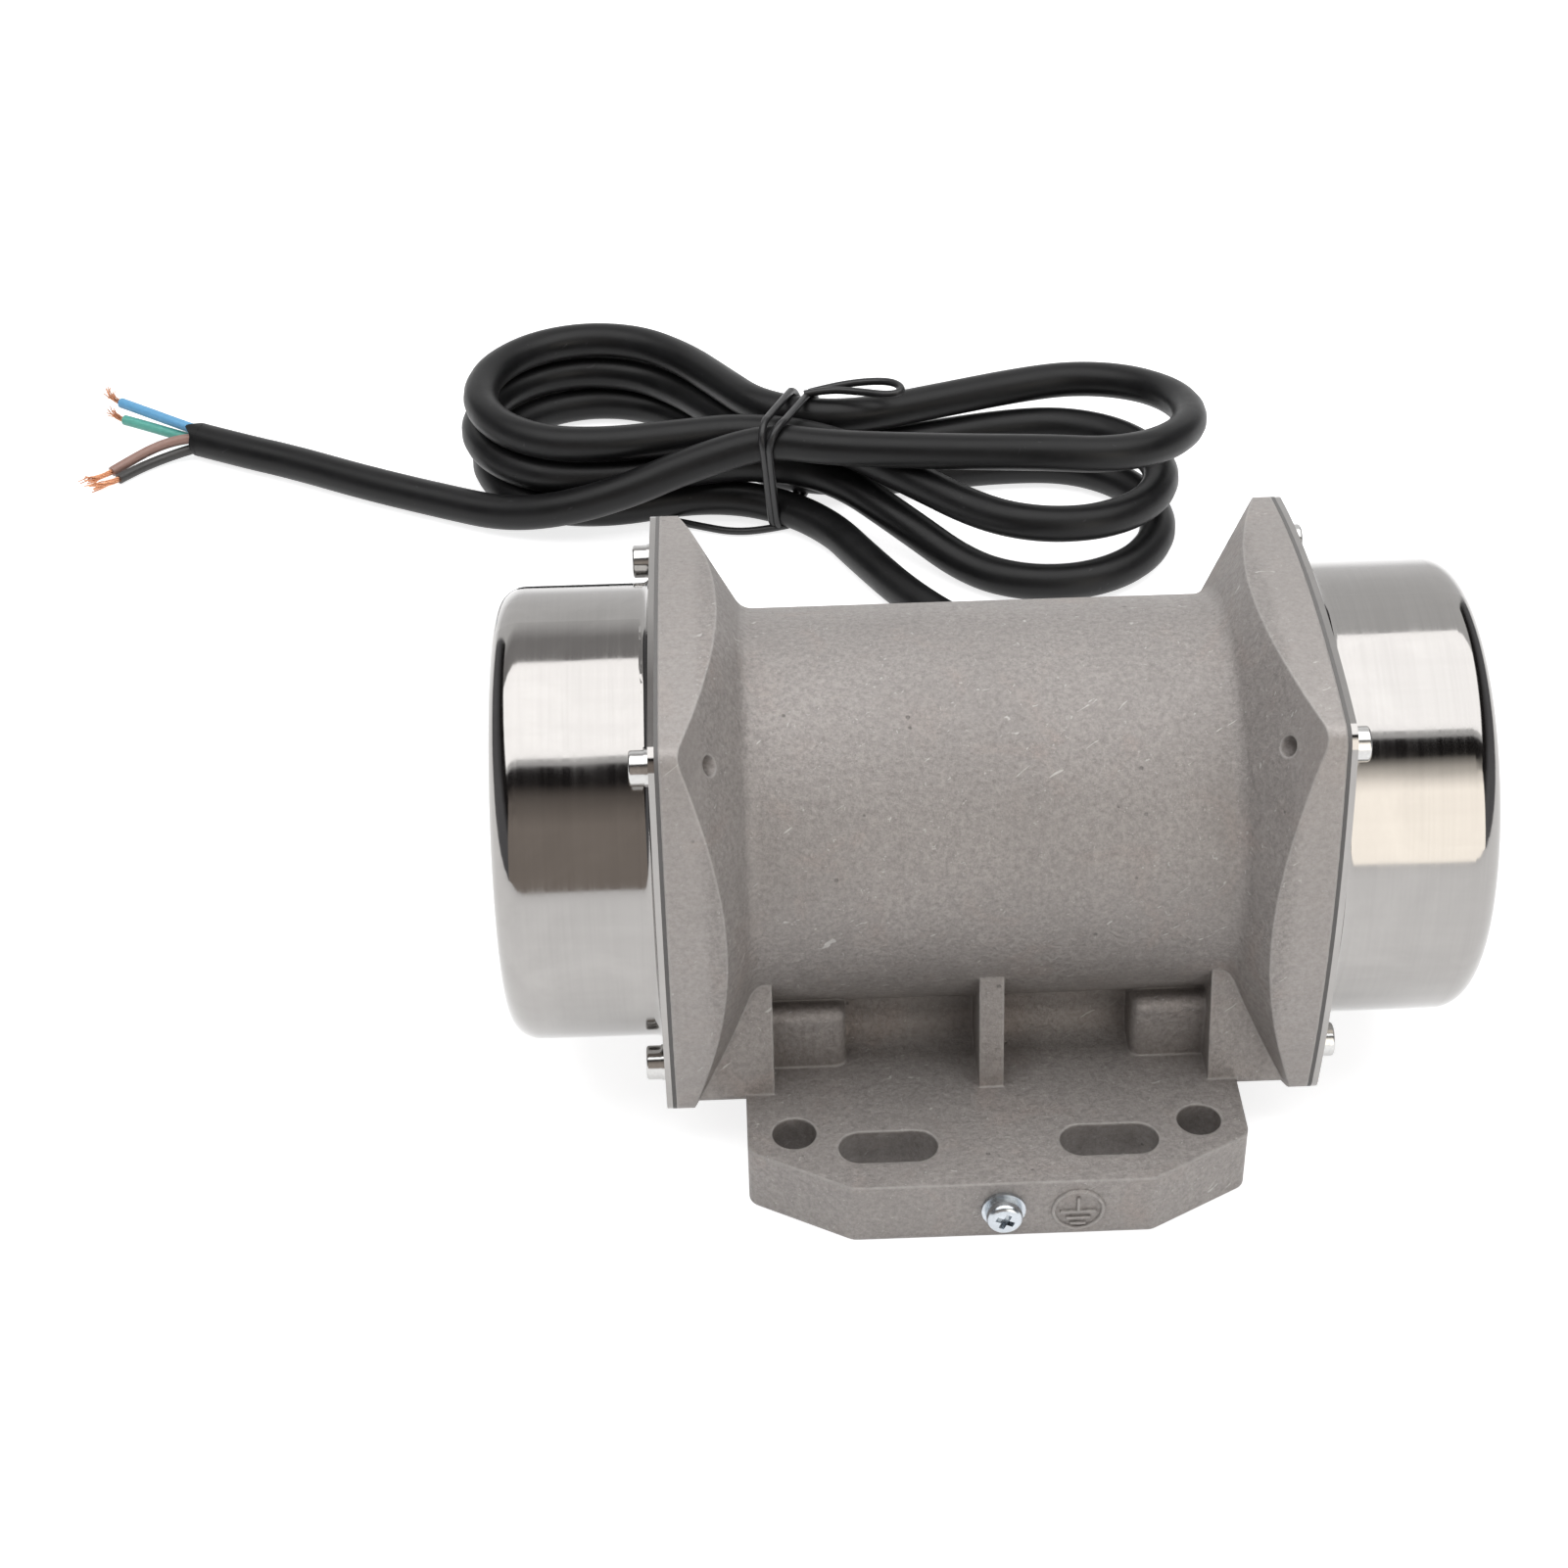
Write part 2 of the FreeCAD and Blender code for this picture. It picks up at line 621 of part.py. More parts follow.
def drill_housing(body):
    for side in (-1, 1):
        corners = new_sketch(body, "YZ_Plane", up=d.shaft_height, out=flange_face * side)
        draw_corner_circles(corners, screw_hole)
        pocket(body, corners, d.cover_screw_reach + 4, Reversed=side < 0)
        seats = new_sketch(body, "YZ_Plane", up=d.shaft_height, out=shield_seat * side)
        offset = d.shield_screw_circle * math.cos(math.radians(45))
        for y in (-offset, offset):
            for z in (-offset, offset):
                draw_circle(seats, y, z, screw_hole)
        pocket(body, seats, d.shield_screw_reach + 0.5, Reversed=side < 0)
    foot = new_sketch(body, "XY_Plane", out=d.foot_thickness)
    for x in (-1, 1):
        for y in (-1, 1):
            draw_circle(foot, d.hole_spacing_x / 2 * x, d.hole_spacing_y / 2 * y, d.hole_diameter / 2)
            draw_slot(foot, d.slot_spacing_x / 2 * x, d.slot_spacing_y / 2 * y,
                      d.slot_length, d.hole_diameter / 2)
    pocket(body, foot, d.foot_thickness + 1)
    earth = new_sketch(body, "XZ_Plane", out=foot_front)
    draw_circle(earth, d.earth_screw_x, d.earth_screw_z, screw_hole)
    pocket(body, earth, d.earth_screw_reach + 2)


def make_housing():
    barrel = new_body("barrel")
    subparts.remove(barrel)
    make_barrel(barrel)
    body = new_body("housing")
    make_foot(body)
    make_saddle(body)
    join(body, barrel)
    bore_housing(body)
    make_gland_boss(body)
    drill_housing(body)


# ---------------------------------------------------------------- covers and their fasteners


def make_gasket(name, side):
    body = shaft_body(name, side)
    sketch = new_sketch(body, "YZ_Plane", out=flange_face)
    draw_flange_outline(sketch)
    draw_circle(sketch, 0, 0, cup_inside)
    pad(body, sketch, d.gasket_thickness)
    holes = new_sketch(body, "YZ_Plane", out=plate_start)
    draw_corner_circles(holes, screw_hole)
    pocket(body, holes, d.gasket_thickness * 2)


def make_cover(name, side):
    """Drawn cup with a square plate round its mouth."""
    body = shaft_body(name, side)
    plate = new_sketch(body, "YZ_Plane", out=plate_start)
    draw_flange_outline(plate)
    draw_circle(plate, 0, 0, cup_inside)
    pad(body, plate, d.cover_sheet)
    wall = new_sketch(body, "XZ_Plane")
    draw_outline(wall, [
        (plate_start, cup_inside), (cup_end - d.cover_sheet, cup_inside), (cup_end - d.cover_sheet, 0),
        (cup_end, 0), (cup_end, d.cup_radius), (plate_start, d.cup_radius)])
    revolve(body, wall)
    fillet(body, d.cup_root_rounding, lambda edge: is_circle(edge, d.cup_radius, plate_face))
    fillet(body, d.cup_end_rounding, lambda edge: is_circle(edge, d.cup_radius, cup_end))
    fillet(body, d.cup_end_rounding - d.cover_sheet,
           lambda edge: is_circle(edge, cup_inside, cup_end - d.cover_sheet))
    holes = new_sketch(body, "YZ_Plane", out=plate_face)
    draw_corner_circles(holes, screw_hole)
    pocket(body, holes, d.cover_sheet * 2)


def make_socket_screws(name, side, seat, reach, y, z, head_rounding=0.6):
    """Four socket screws round the shaft, heads outwards; seat is the face under their heads."""
    body = shaft_body(name, side)
    head_end = seat + d.screw_head_height
    head = new_sketch(body, "YZ_Plane", out=seat)
    draw_circle(head, y, z, d.screw_head_radius)
    pad(body, head, d.screw_head_height)
    fillet(body, head_rounding, lambda edge: is_circle(edge, d.screw_head_radius, head_end))
    shank = new_sketch(body, "YZ_Plane", out=seat)
    draw_circle(shank, y, z, d.screw_radius)
    pad(body, shank, reach, Reversed=True)
    socket = new_sketch(body, "YZ_Plane", out=head_end)
    draw_hexagon(socket, y, z, d.screw_socket_radius)
    pocket(body, socket, d.screw_socket_depth)
    polar(body, 4)


def make_cover_washers(name, side):
    """Four split spring washers under the cover screws."""
    body = shaft_body(name, side)
    ring = new_sketch(body, "YZ_Plane", out=plate_face)
    offset = d.cover_screw_offset
    draw_circle(ring, offset, offset, d.washer_radius)
    draw_circle(ring, offset, offset, screw_hole)
    pad(body, ring, d.spring_washer_thickness)
    polar(body, 4)


def make_covers():
    for name, side in SIDES:
        make_gasket(f"cover_gasket_{name}", side)
        make_cover(f"cover_{name}", side)
        make_cover_washers(f"cover_washers_{name}", side)
        seat = plate_face + d.spring_washer_thickness
        make_socket_screws(f"cover_screws_{name}", side, seat, seat - flange_face + d.cover_screw_reach,
                           d.cover_screw_offset, d.cover_screw_offset)


# ---------------------------------------------------------------- end shields and bearings


def make_end_shield(name, side):
    body = shaft_body(name, side)
    profile = new_sketch(body, "XZ_Plane")
    draw_outline(profile, [
        (hub_start, d.bearing_radius), (lip_seat, d.bearing_radius), (lip_seat, d.shield_lip_radius),
        (flange_face, d.shield_lip_radius), (flange_face, d.shield_radius),
        (shield_seat, d.shield_radius), (shield_seat, d.bearing_hub_radius),
        (hub_start, d.bearing_hub_radius)])
    revolve(body, profile)
    offset = d.shield_screw_circle * math.cos(math.radians(45))
    sink = new_sketch(body, "YZ_Plane", out=flange_face)
    draw_circle(sink, offset, offset, d.screw_head_radius)
    counterbore = pocket(body, sink, d.screw_head_height)
    through = new_sketch(body, "YZ_Plane", out=flange_face)
    draw_circle(through, offset, offset, screw_hole)
    drilled = pocket(body, through, d.shield_thickness + 1)
    polar(body, 4, [counterbore, drilled])


def make_race(name, side, start, inner, outer):
    """One race: a plain ring with the ball groove turned into it."""
    body = revolved_ring(name, side, start, start + d.bearing_width, inner, outer)
    track = new_sketch(body, "XZ_Plane")
    draw_circle(track, start + d.bearing_width / 2, d.ball_circle, d.ball_radius + d.ball_gap)
    groove(body, track)


def make_cage(name, side, middle):
    body = revolved_ring(name, side, middle - d.cage_half_width, middle + d.cage_half_width,
                         d.ball_circle - d.cage_half_height, d.ball_circle + d.cage_half_height)
    seat = new_sketch(body, "XY_Plane")
    draw_circle(seat, middle, 0, d.ball_radius)
    hole = pocket(body, seat, d.ball_circle * 2, Reversed=True)
    polar(body, d.ball_count, [hole])


def make_balls(name, side, middle):
    """The balls: one sphere on the pitch circle, repeated round the shaft."""
    body = shaft_body(name, side)
    ball = body.newObject("PartDesign::AdditiveSphere", f"{name}_ball")
    bind(ball, "Radius", d.ball_radius)
    attach(ball, body, "YZ_Plane", 0, d.ball_circle, middle)
    body.Tip = ball
    doc.recompute()
    polar(body, d.ball_count)


def make_bearings():
    for name, side in SIDES:
        start = bearing_near[name]
        middle = start + d.bearing_width / 2
        make_end_shield(f"end_shield_{name}", side)
        offset = d.shield_screw_circle * math.cos(math.radians(45))
        make_socket_screws(f"end_shield_screws_{name}", side, flange_face - d.screw_head_height,
                           d.shield_thickness - d.screw_head_height + d.shield_screw_reach,
                           offset, offset, 0.4)
        make_race(f"bearing_outer_race_{name}", side, start,
                  d.ball_circle + d.race_land, d.bearing_radius)
        make_race(f"bearing_inner_race_{name}", side, start,
                  d.bearing_bore_radius, d.ball_circle - d.race_land)
        make_cage(f"bearing_cage_{name}", side, middle)
        make_balls(f"bearing_balls_{name}", side, middle)
    revolved_ring("wave_spring", 1, lip_seat - d.wave_spring_thickness, lip_seat,
                  d.bearing_radius - 2.5, d.bearing_radius)


# ---------------------------------------------------------------- stator and rotor


def make_stator_core():
    bore = d.rotor_radius + d.air_gap
    body = revolved_ring("stator_core", 1, -d.core_half_length, d.core_half_length,
                         bore, d.stator_radius)
    slot = new_sketch(body, "YZ_Plane", out=d.core_half_length)
    draw_circle(slot, 0, d.stator_slot_circle, d.stator_slot_radius)
    hole = pocket(body, slot, d.core_half_length * 2)
    polar(body, d.stator_slot_count, [hole])


def make_stator_winding():
    """Coil sides through the slots, joined by the end turns on both sides of the core."""
    body = shaft_body("stator_winding")
    start = d.core_half_length + 1
    finish = d.core_half_length + d.winding_overhang
    for side in (-1, 1):
        turns = new_sketch(body, "XZ_Plane")
        draw_outline(turns, [
            (start * side, d.winding_inner + 1), (start * side, d.winding_outer - 1),
            (finish * side, d.winding_outer - 3), (finish * side, d.winding_inner + 1)])
        if side < 0:
            revolve(body, turns)
            coil = new_sketch(body, "YZ_Plane")
            draw_circle(coil, 0, d.stator_slot_circle, d.stator_slot_radius - d.winding_gap)
            bar = pad(body, coil, start * 2 + 2, SideType="Symmetric")
            polar(body, d.stator_slot_count, [bar])
        else:
            revolve(body, turns)


def make_rotor_core():
    body = revolved_ring("rotor_core", 1, -d.core_half_length, d.core_half_length,
                         d.rotor_shaft_radius, d.rotor_radius)
    slot = new_sketch(body, "YZ_Plane", out=d.core_half_length)
    draw_circle(slot, 0, d.rotor_bar_circle, d.rotor_bar_radius)
    hole = pocket(body, slot, d.core_half_length * 2)
    polar(body, d.rotor_bar_count, [hole])


def make_rotor_cage():
    """Cast bars with an end ring at each end of the rotor core."""
    body = shaft_body("rotor_cage")
    near_face, far_face = d.core_half_length, d.core_half_length + d.end_ring_length
    ring = new_sketch(body, "XZ_Plane")
    draw_outline(ring, [(-far_face, d.end_ring_bore), (-near_face, d.end_ring_bore),
                        (-near_face, d.rotor_radius), (-far_face, d.rotor_radius)])
    revolve(body, ring)
    rod = new_sketch(body, "YZ_Plane")
    draw_circle(rod, 0, d.rotor_bar_circle, d.rotor_bar_radius)
    bar = pad(body, rod, near_face * 2 + 2, SideType="Symmetric")
    polar(body, d.rotor_bar_count, [bar])
    ring = new_sketch(body, "XZ_Plane")
    draw_outline(ring, [(near_face, d.end_ring_bore), (far_face, d.end_ring_bore),
                        (far_face, d.rotor_radius), (near_face, d.rotor_radius)])
    revolve(body, ring)


def make_shaft():
    """Shaft with bearing seats, weight seats, key seats and retaining ring grooves."""
    body = shaft_body("shaft")
    profile = []
    for name, side in (("right", 1), ("left", -1)):
        half = [(bearing_near[name], d.rotor_shaft_radius), (bearing_near[name], d.bearing_bore_radius),
                (seat_start, d.bearing_bore_radius), (seat_start, d.seat_radius),
                (circlip_start, d.seat_radius), (circlip_start, d.circlip_groove),
                (circlip_end, d.circlip_groove), (circlip_end, d.seat_radius),
                (shaft_end, d.seat_radius), (shaft_end, 0)]
        points = [(x * side, radius) for x, radius in half]
        profile += points if side > 0 else points[::-1]
    sketch = new_sketch(body, "XZ_Plane")
    draw_outline(sketch, profile)
    revolve(body, sketch)
    for side in (-1, 1):
        seat = new_sketch(body, "XY_Plane", out=-d.key_bottom)
        draw_slot_box(seat, (key_start() + d.key_length / 2) * side, d.key_length, d.key_width)
        pocket(body, seat, d.seat_radius)


def key_start():
    return fixed_start + (d.fixed_weight_width - d.key_length) / 2


def draw_slot_box(sketch, middle, length, width):
    """A rectangle centred on the sketch's X axis."""
    draw_outline(sketch, [
        (middle - length / 2, -width / 2), (middle + length / 2, -width / 2),
        (middle + length / 2, width / 2), (middle - length / 2, width / 2)])


def make_key(name, side):
    body = shaft_body(name, side)
    sketch = new_sketch(body, "XY_Plane", out=-d.key_bottom)
    draw_slot_box(sketch, key_start() + d.key_length / 2, d.key_length, d.key_width)
    pad(body, sketch, d.key_top - d.key_bottom, Reversed=True)


# ---------------------------------------------------------------- eccentric weights


def make_weight(name, side, start, width, bore, keyed):
    """Half-moon weight, hanging down, with a slit clamp hub above the shaft."""
    body = shaft_body(name, side)
    chord_half = (d.weight_radius * d.weight_radius - d.weight_chord * d.weight_chord).root()
    moon = new_sketch(body, "YZ_Plane", out=start)
    draw_outline(moon, [(-chord_half, -d.weight_chord, d.weight_radius, 1), (chord_half, -d.weight_chord)])
    pad(body, moon, width)
    hub = new_sketch(body, "YZ_Plane", out=start)
    half, top, corner = d.hub_half_width, d.hub_top, d.hub_rounding
    draw_outline(hub, [
        (-half, -d.weight_chord - 1), (half, -d.weight_chord - 1), (half, top - corner, corner, 1),
        (half - corner, top), (corner - half, top, corner, 1), (-half, top - corner)])
    pad(body, hub, width)
    hole = new_sketch(body, "YZ_Plane", out=start + width)
    draw_circle(hole, 0, 0, bore)
    pocket(body, hole, width)
    slit = new_sketch(body, "YZ_Plane", out=start + width)
    draw_outline(slit, [
        (-d.clamp_slit / 2, 1), (d.clamp_slit / 2, 1),
        (d.clamp_slit / 2, top + 1), (-d.clamp_slit / 2, top + 1)])
    pocket(body, slit, width)
    bolt_hole = new_sketch(body, "XZ_Plane", out=half)
    draw_circle(bolt_hole, start + width / 2, d.clamp_bolt_height, d.clamp_bolt_radius + d.screw_hole_gap)
    pocket(body, bolt_hole, half * 2)
    if keyed:
        key_seat = new_sketch(body, "YZ_Plane", out=start + width)
        draw_outline(key_seat, [
            (-d.key_width / 2, -d.key_top), (d.key_width / 2, -d.key_top),
            (d.key_width / 2, 0), (-d.key_width / 2, 0)])
        pocket(body, key_seat, width)


def make_clamp_bolt(name, side, middle):
    """Clamp bolt across the weight's hub, with its nut."""
    body = shaft_body(name, side)
    half = d.hub_half_width
    head = new_sketch(body, "XZ_Plane", out=half)
    draw_circle(head, middle, d.clamp_bolt_height, d.clamp_head_radius)
    pad(body, head, d.clamp_head_height)
    shank = new_sketch(body, "XZ_Plane", out=half)
    draw_circle(shank, middle, d.clamp_bolt_height, d.clamp_bolt_radius)
    pad(body, shank, half * 2 + d.clamp_nut_height + 1, Reversed=True)
    nut = new_sketch(body, "XZ_Plane", out=-half)
    draw_hexagon(nut, middle, d.clamp_bolt_height, d.clamp_nut_radius)
    pad(body, nut, d.clamp_nut_height, Reversed=True)


def make_circlip(name, side):
    """Open retaining ring behind the adjustable weight."""
    body = revolved_ring(name, side, circlip_start, circlip_end, d.circlip_groove, d.circlip_radius)
    slit = new_sketch(body, "YZ_Plane", out=circlip_end)
    draw_outline(slit, [
        (-d.circlip_slit / 2, 1), (d.circlip_slit / 2, 1),
        (d.circlip_slit / 2, d.circlip_radius + 1), (-d.circlip_slit / 2, d.circlip_radius + 1)])
    pocket(body, slit, d.circlip_thickness)


def make_weights():
    for name, side in SIDES:
        make_key(f"weight_key_{name}", side)
        make_weight(f"fixed_weight_{name}", side, fixed_start, d.fixed_weight_width,
                    d.seat_radius, True)
        make_clamp_bolt(f"fixed_weight_bolt_{name}", side, fixed_start + d.fixed_weight_width / 2)
        make_weight(f"adjustable_weight_{name}", side, loose_start, d.loose_weight_width,
                    d.seat_radius + d.weight_bore_gap, False)
        make_clamp_bolt(f"adjustable_weight_bolt_{name}", side, loose_start + d.loose_weight_width / 2)
        make_circlip(f"retaining_ring_{name}", side)


# ---------------------------------------------------------------- earth screw and cable gland


def turned_piece(name, base, turn, profile):
    """A piece turned about its own X axis, which then points along -Y (turn -90) or +Y (turn 90)."""
    body = new_body(name, *base, turn=turn)
    sketch = new_sketch(body, "XZ_Plane")
    draw_outline(sketch, profile)
    revolve(body, sketch)
    return body


def make_earth_screw():
    base = (d.earth_screw_x, -foot_front, d.earth_screw_z)
    flat_end = d.earth_washer_thickness
    seat = flat_end + d.spring_washer_thickness
    crown = d.earth_head_rounding
    top = seat + d.earth_head_height
    for name, start, finish, outer in (
            ("earth_flat_washer", 0, flat_end, d.earth_washer_radius),
            ("earth_spring_washer", flat_end, seat, d.washer_radius)):
        turned_piece(name, base, -90, [
            (start, screw_hole), (finish, screw_hole), (finish, outer), (start, outer)])
    turned_piece("earth_screw", base, -90, [
        (-d.earth_screw_reach, 0), (top, 0), (top, d.earth_head_radius - crown, crown, 1),
        (top - crown, d.earth_head_radius), (seat, d.earth_head_radius),
        (seat, d.screw_radius), (-d.earth_screw_reach, d.screw_radius)])


def make_gland():
    base = (d.gland_x, d.gland_boss_face, d.gland_z)
    bore = d.cord_radius + 0.35
    collar_end = d.gland_collar_length
    nut_end = collar_end + d.gland_nut_length
    seal_start = collar_end + 1
    seal_end = seal_start + d.gland_seal_length
    body = turned_piece("gland_body", base, 90, [
        (-d.gland_thread_length, bore), (collar_end, bore),
        (collar_end, d.gland_thread_radius), (-d.gland_thread_length, d.gland_thread_radius)])
    collar = new_sketch(body, "YZ_Plane")
    draw_hexagon(collar, 0, 0, d.gland_collar_corner)
    draw_circle(collar, 0, 0, bore)
    pad(body, collar, d.gland_collar_length)
    turned_piece("gland_nut", base, 90, [
        (collar_end, d.gland_seal_radius), (seal_end, d.gland_seal_radius),
        (seal_end, bore), (nut_end, bore), (nut_end, d.gland_nut_nose_radius),
        (nut_end - 4, d.gland_nut_radius), (collar_end, d.gland_nut_radius)])
    turned_piece("gland_seal", base, 90, [
        (seal_start, d.cord_radius), (seal_end, d.cord_radius),
        (seal_end, d.gland_seal_radius), (seal_start, d.gland_seal_radius)])


# ---------------------------------------------------------------- power cord


def arc_route(points):
    """Straight runs joined by tangent arcs, each as large as its two runs allow. Returns the wire
    and the arcs' radii."""
    share = 0.45
    edges = []
    radii = []
    start = points[0]
    for before, corner, after in zip(points, points[1:], points[2:]):
        back, ahead = before - corner, after - corner
        cut = share * min(back.Length, ahead.Length)
        back.normalize()
        ahead.normalize()
        half_angle = back.getAngle(ahead) / 2
        bisector = (back + ahead).normalize()
        radius = cut * math.tan(half_angle)
        middle = corner + bisector * (cut / math.cos(half_angle) - radius)
        enter, leave = corner + back * cut, corner + ahead * cut
        edges.append(Part.LineSegment(start, enter).toShape())
        edges.append(Part.Arc(enter, middle, leave).toShape())
        radii.append(radius)
        start = leave
    edges.append(Part.LineSegment(start, points[-1]).toShape())
    return Part.Wire(edges), radii


def tube(points, radius):
    """Solid tube along a route, checked against its section times its length."""
    path, radii = arc_route(points)
    section = Part.Wire(Part.Circle(points[0], points[1] - points[0], radius).toShape())
    solid = path.makePipeShell([section], True, False)
    expected = math.pi * radius ** 2 * path.Length
    if abs(solid.Volume / expected - 1) > 0.001:
        raise ValueError(f"tube volume {solid.Volume:.1f} is not {expected:.1f}")
    return solid, path.Length, radii


def cord_piece(name, routes, radius):
    """A cord's sub-part along its routes, as one solid each."""
    solids = []
    for route in routes:
        points = [FreeCAD.Vector(*point) for point in route]
        solid, length, radii = tube(points, value_of(radius))
        diameters = [round(bend / value_of(radius) / 2, 1) for bend in radii]
        print(f"{name}: {length:.0f} mm long, bends in diameters {diameters}")
        solids.append(solid)
    piece = doc.addObject("Part::Feature", name)
    piece.Label = name
    piece.Shape = solids[0] if len(solids) == 1 else Part.makeCompound(solids)
    piece.Placement = FreeCAD.Placement()
    subparts.append(piece)


def make_hank():
    """Outer shape of the three tied turns: a lobe of loops at each end and a waist under the tie."""
    body = new_body("power_cord_hank", x=d.hank_x, y=d.hank_y, turn=d.hank_turn)
    left, right = -d.hank_left, d.hank_right
    for x, y, radius in ((left, d.hank_left_shift, d.hank_left_radius),
                         (right, d.hank_right_shift, d.hank_right_radius)):
        lobe = new_sketch(body, "XY_Plane")
        draw_circle(lobe, x, y, radius)
        pad(body, lobe, d.hank_height)
    waist = new_sketch(body, "XY_Plane", out=d.hank_lift)
    left_half = d.hank_left_radius - d.cord_radius
    right_half = d.hank_right_radius - d.cord_radius
    middle = d.waist_half_length
    draw_outline(waist, [
        (left, d.hank_left_shift - left_half), (-middle, -d.waist_near), (middle, -d.waist_near),
        (right, d.hank_right_shift - right_half), (right, d.hank_right_shift + right_half),
        (middle, d.waist_far), (-middle, d.waist_far), (left, d.hank_left_shift + left_half)])
    pad(body, waist, d.hank_height - d.hank_lift)
    top = new_sketch(body, "XY_Plane", out=d.hank_height)
    draw_outline(top, [
        (-middle, -d.waist_near), (middle, -d.waist_near), (middle, d.waist_far), (-middle, d.waist_far)])
    pad(body, top, d.waist_height - d.hank_height)


def make_tie():
    """Wire tie wrapped round the hank's waist."""
    body = new_body("cord_tie", x=d.hank_x, y=d.hank_y, turn=d.hank_turn)
    wrap = new_sketch(body, "YZ_Plane")
    for grown in (d.tie_thickness, 0):
        near_side, far_side = -d.waist_near - grown, d.waist_far + grown
        low, high = d.hank_lift - grown, d.waist_height + grown
        draw_outline(wrap, [(near_side, low), (far_side, low), (far_side, high), (near_side, high)])
    pad(body, wrap, d.tie_width, SideType="Symmetric")


GLAND_EXIT_Y = 56.0
FLOOR = 4.95
LEAD_ROUTE = [
    (32, GLAND_EXIT_Y, 38), (32, 80, 38), (30, 103, 29), (22, 124, 14), (10, 141, 6.2),
    (-3, 159.5, FLOOR), (-15, 182, FLOOR), (-22, 204, 6)]
TAIL_ROUTE = [
    (-45, 208.5, 27.5), (-61, 203.5, 22.5), (-78, 201.5, 16), (-96, 202.8, 10), (-113, 208.8, 5.6),
    (-131, 218.5, FLOOR), (-152, 229.3, FLOOR), (-175, 243, FLOOR), (-189.5, 250.2, FLOOR),
    (-203.4, 257.9, FLOOR)]
WIRE_ROUTES = {
    "core_blue": [(-202.6, 259.3, 6.5), (-211.5, 264.2, 7.5), (-220.5, 269.8, 8.2), (-229, 276, 8.2)],
    "core_green": [(-202.6, 259.3, 3.4), (-211.4, 263.1, 4.0), (-220.2, 267.6, 4.6), (-228, 272.4, 4.4)],
    "core_brown": [
        (-204.2, 256.5, 6.5), (-210.6, 256.7, 5.7), (-217, 254.4, 4.6), (-222.8, 250, 3.4),
        (-227.9, 245.4, 2.4)],
    "core_black": [
        (-204.2, 256.5, 3.4), (-210.4, 255, 2.3), (-216.3, 251.6, 1.8), (-221.3, 247.2, 1.7),
        (-225.6, 242.6, 1.5)],
}
STRAND_RUN = 5.0
STRAND_CURL = 0.3


def make_cord():
    cord_piece("power_cord_lead", [LEAD_ROUTE], d.cord_radius)
    make_hank()
    cord_piece("power_cord_tail", [TAIL_ROUTE], d.cord_radius)
    strands = []
    for name, route in WIRE_ROUTES.items():
        cord_piece(name, [route], d.wire_radius)
        end, before = FreeCAD.Vector(*route[-1]), FreeCAD.Vector(*route[-2])
        onward = (end - before).normalize() * STRAND_RUN
        aside = FreeCAD.Vector(onward.x + onward.y * STRAND_CURL, onward.y - onward.x * STRAND_CURL, 0)
        strands.append([end, end + onward, end + onward + aside])
    cord_piece("core_strands", strands, d.strand_radius)
    make_tie()


# ---------------------------------------------------------------- build, check and write


def check(objects):
    """Stops at the first object that failed, or whose shape is missing or not valid."""
    for item in doc.Objects:
        if "Invalid" in item.State or "Error" in item.State:
            raise ValueError(f"{item.Name} failed: {item.State}")
    for item in objects:
        if item.Shape.isNull() or not item.Shape.isValid() or not item.Shape.Solids:
            raise ValueError(f"{item.Label} has no valid solid")


make_housing()
make_covers()
make_bearings()
make_stator_core()
make_stator_winding()
make_rotor_core()
make_rotor_cage()
make_shaft()
make_weights()
make_earth_screw()
make_gland()
make_cord()
doc.recompute()
check(subparts)
os.makedirs("parts", exist_ok=True)
for item in subparts:
    item.Shape.exportStep(f"parts/{item.Label}.step")
    print(f"{item.Label}: {len(item.Shape.Solids)} solid(s), {item.Shape.Volume:.0f} mm3")
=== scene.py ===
import json
import math
import random

import bmesh
import bpy
from mathutils import Matrix, Vector


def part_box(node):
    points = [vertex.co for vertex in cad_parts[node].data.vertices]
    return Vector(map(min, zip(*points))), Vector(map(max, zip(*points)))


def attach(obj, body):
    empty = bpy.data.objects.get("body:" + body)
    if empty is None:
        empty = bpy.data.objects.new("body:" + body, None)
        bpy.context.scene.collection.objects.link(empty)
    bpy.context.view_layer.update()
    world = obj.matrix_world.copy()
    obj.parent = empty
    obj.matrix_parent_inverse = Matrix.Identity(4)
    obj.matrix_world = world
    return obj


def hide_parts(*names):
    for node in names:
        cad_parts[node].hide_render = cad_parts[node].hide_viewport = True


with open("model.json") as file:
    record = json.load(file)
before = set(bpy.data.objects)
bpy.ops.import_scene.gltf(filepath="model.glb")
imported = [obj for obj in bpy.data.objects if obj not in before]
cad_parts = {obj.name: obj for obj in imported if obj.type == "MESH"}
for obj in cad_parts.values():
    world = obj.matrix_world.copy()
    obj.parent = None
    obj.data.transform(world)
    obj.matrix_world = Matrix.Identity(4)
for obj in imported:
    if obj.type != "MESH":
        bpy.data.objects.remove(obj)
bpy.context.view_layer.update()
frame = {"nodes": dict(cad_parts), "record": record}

MM = 0.001

# ---------------------------------------------------------------- places read from the frame

HOUSING_LOW, HOUSING_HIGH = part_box("housing")
FLANGE_FACE = HOUSING_HIGH.x
FOOT_FRONT = HOUSING_LOW.y
GLAND_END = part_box("gland_nut")[1].y
WASHER_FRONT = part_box("earth_spring_washer")[0].y
SCREW_LOW, SCREW_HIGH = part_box("earth_screw")


def collect(obj):
    bpy.context.scene.collection.objects.link(obj)
    return obj


def millimetres(points):
    return [Vector((x, y, z)) * MM for x, y, z in points]


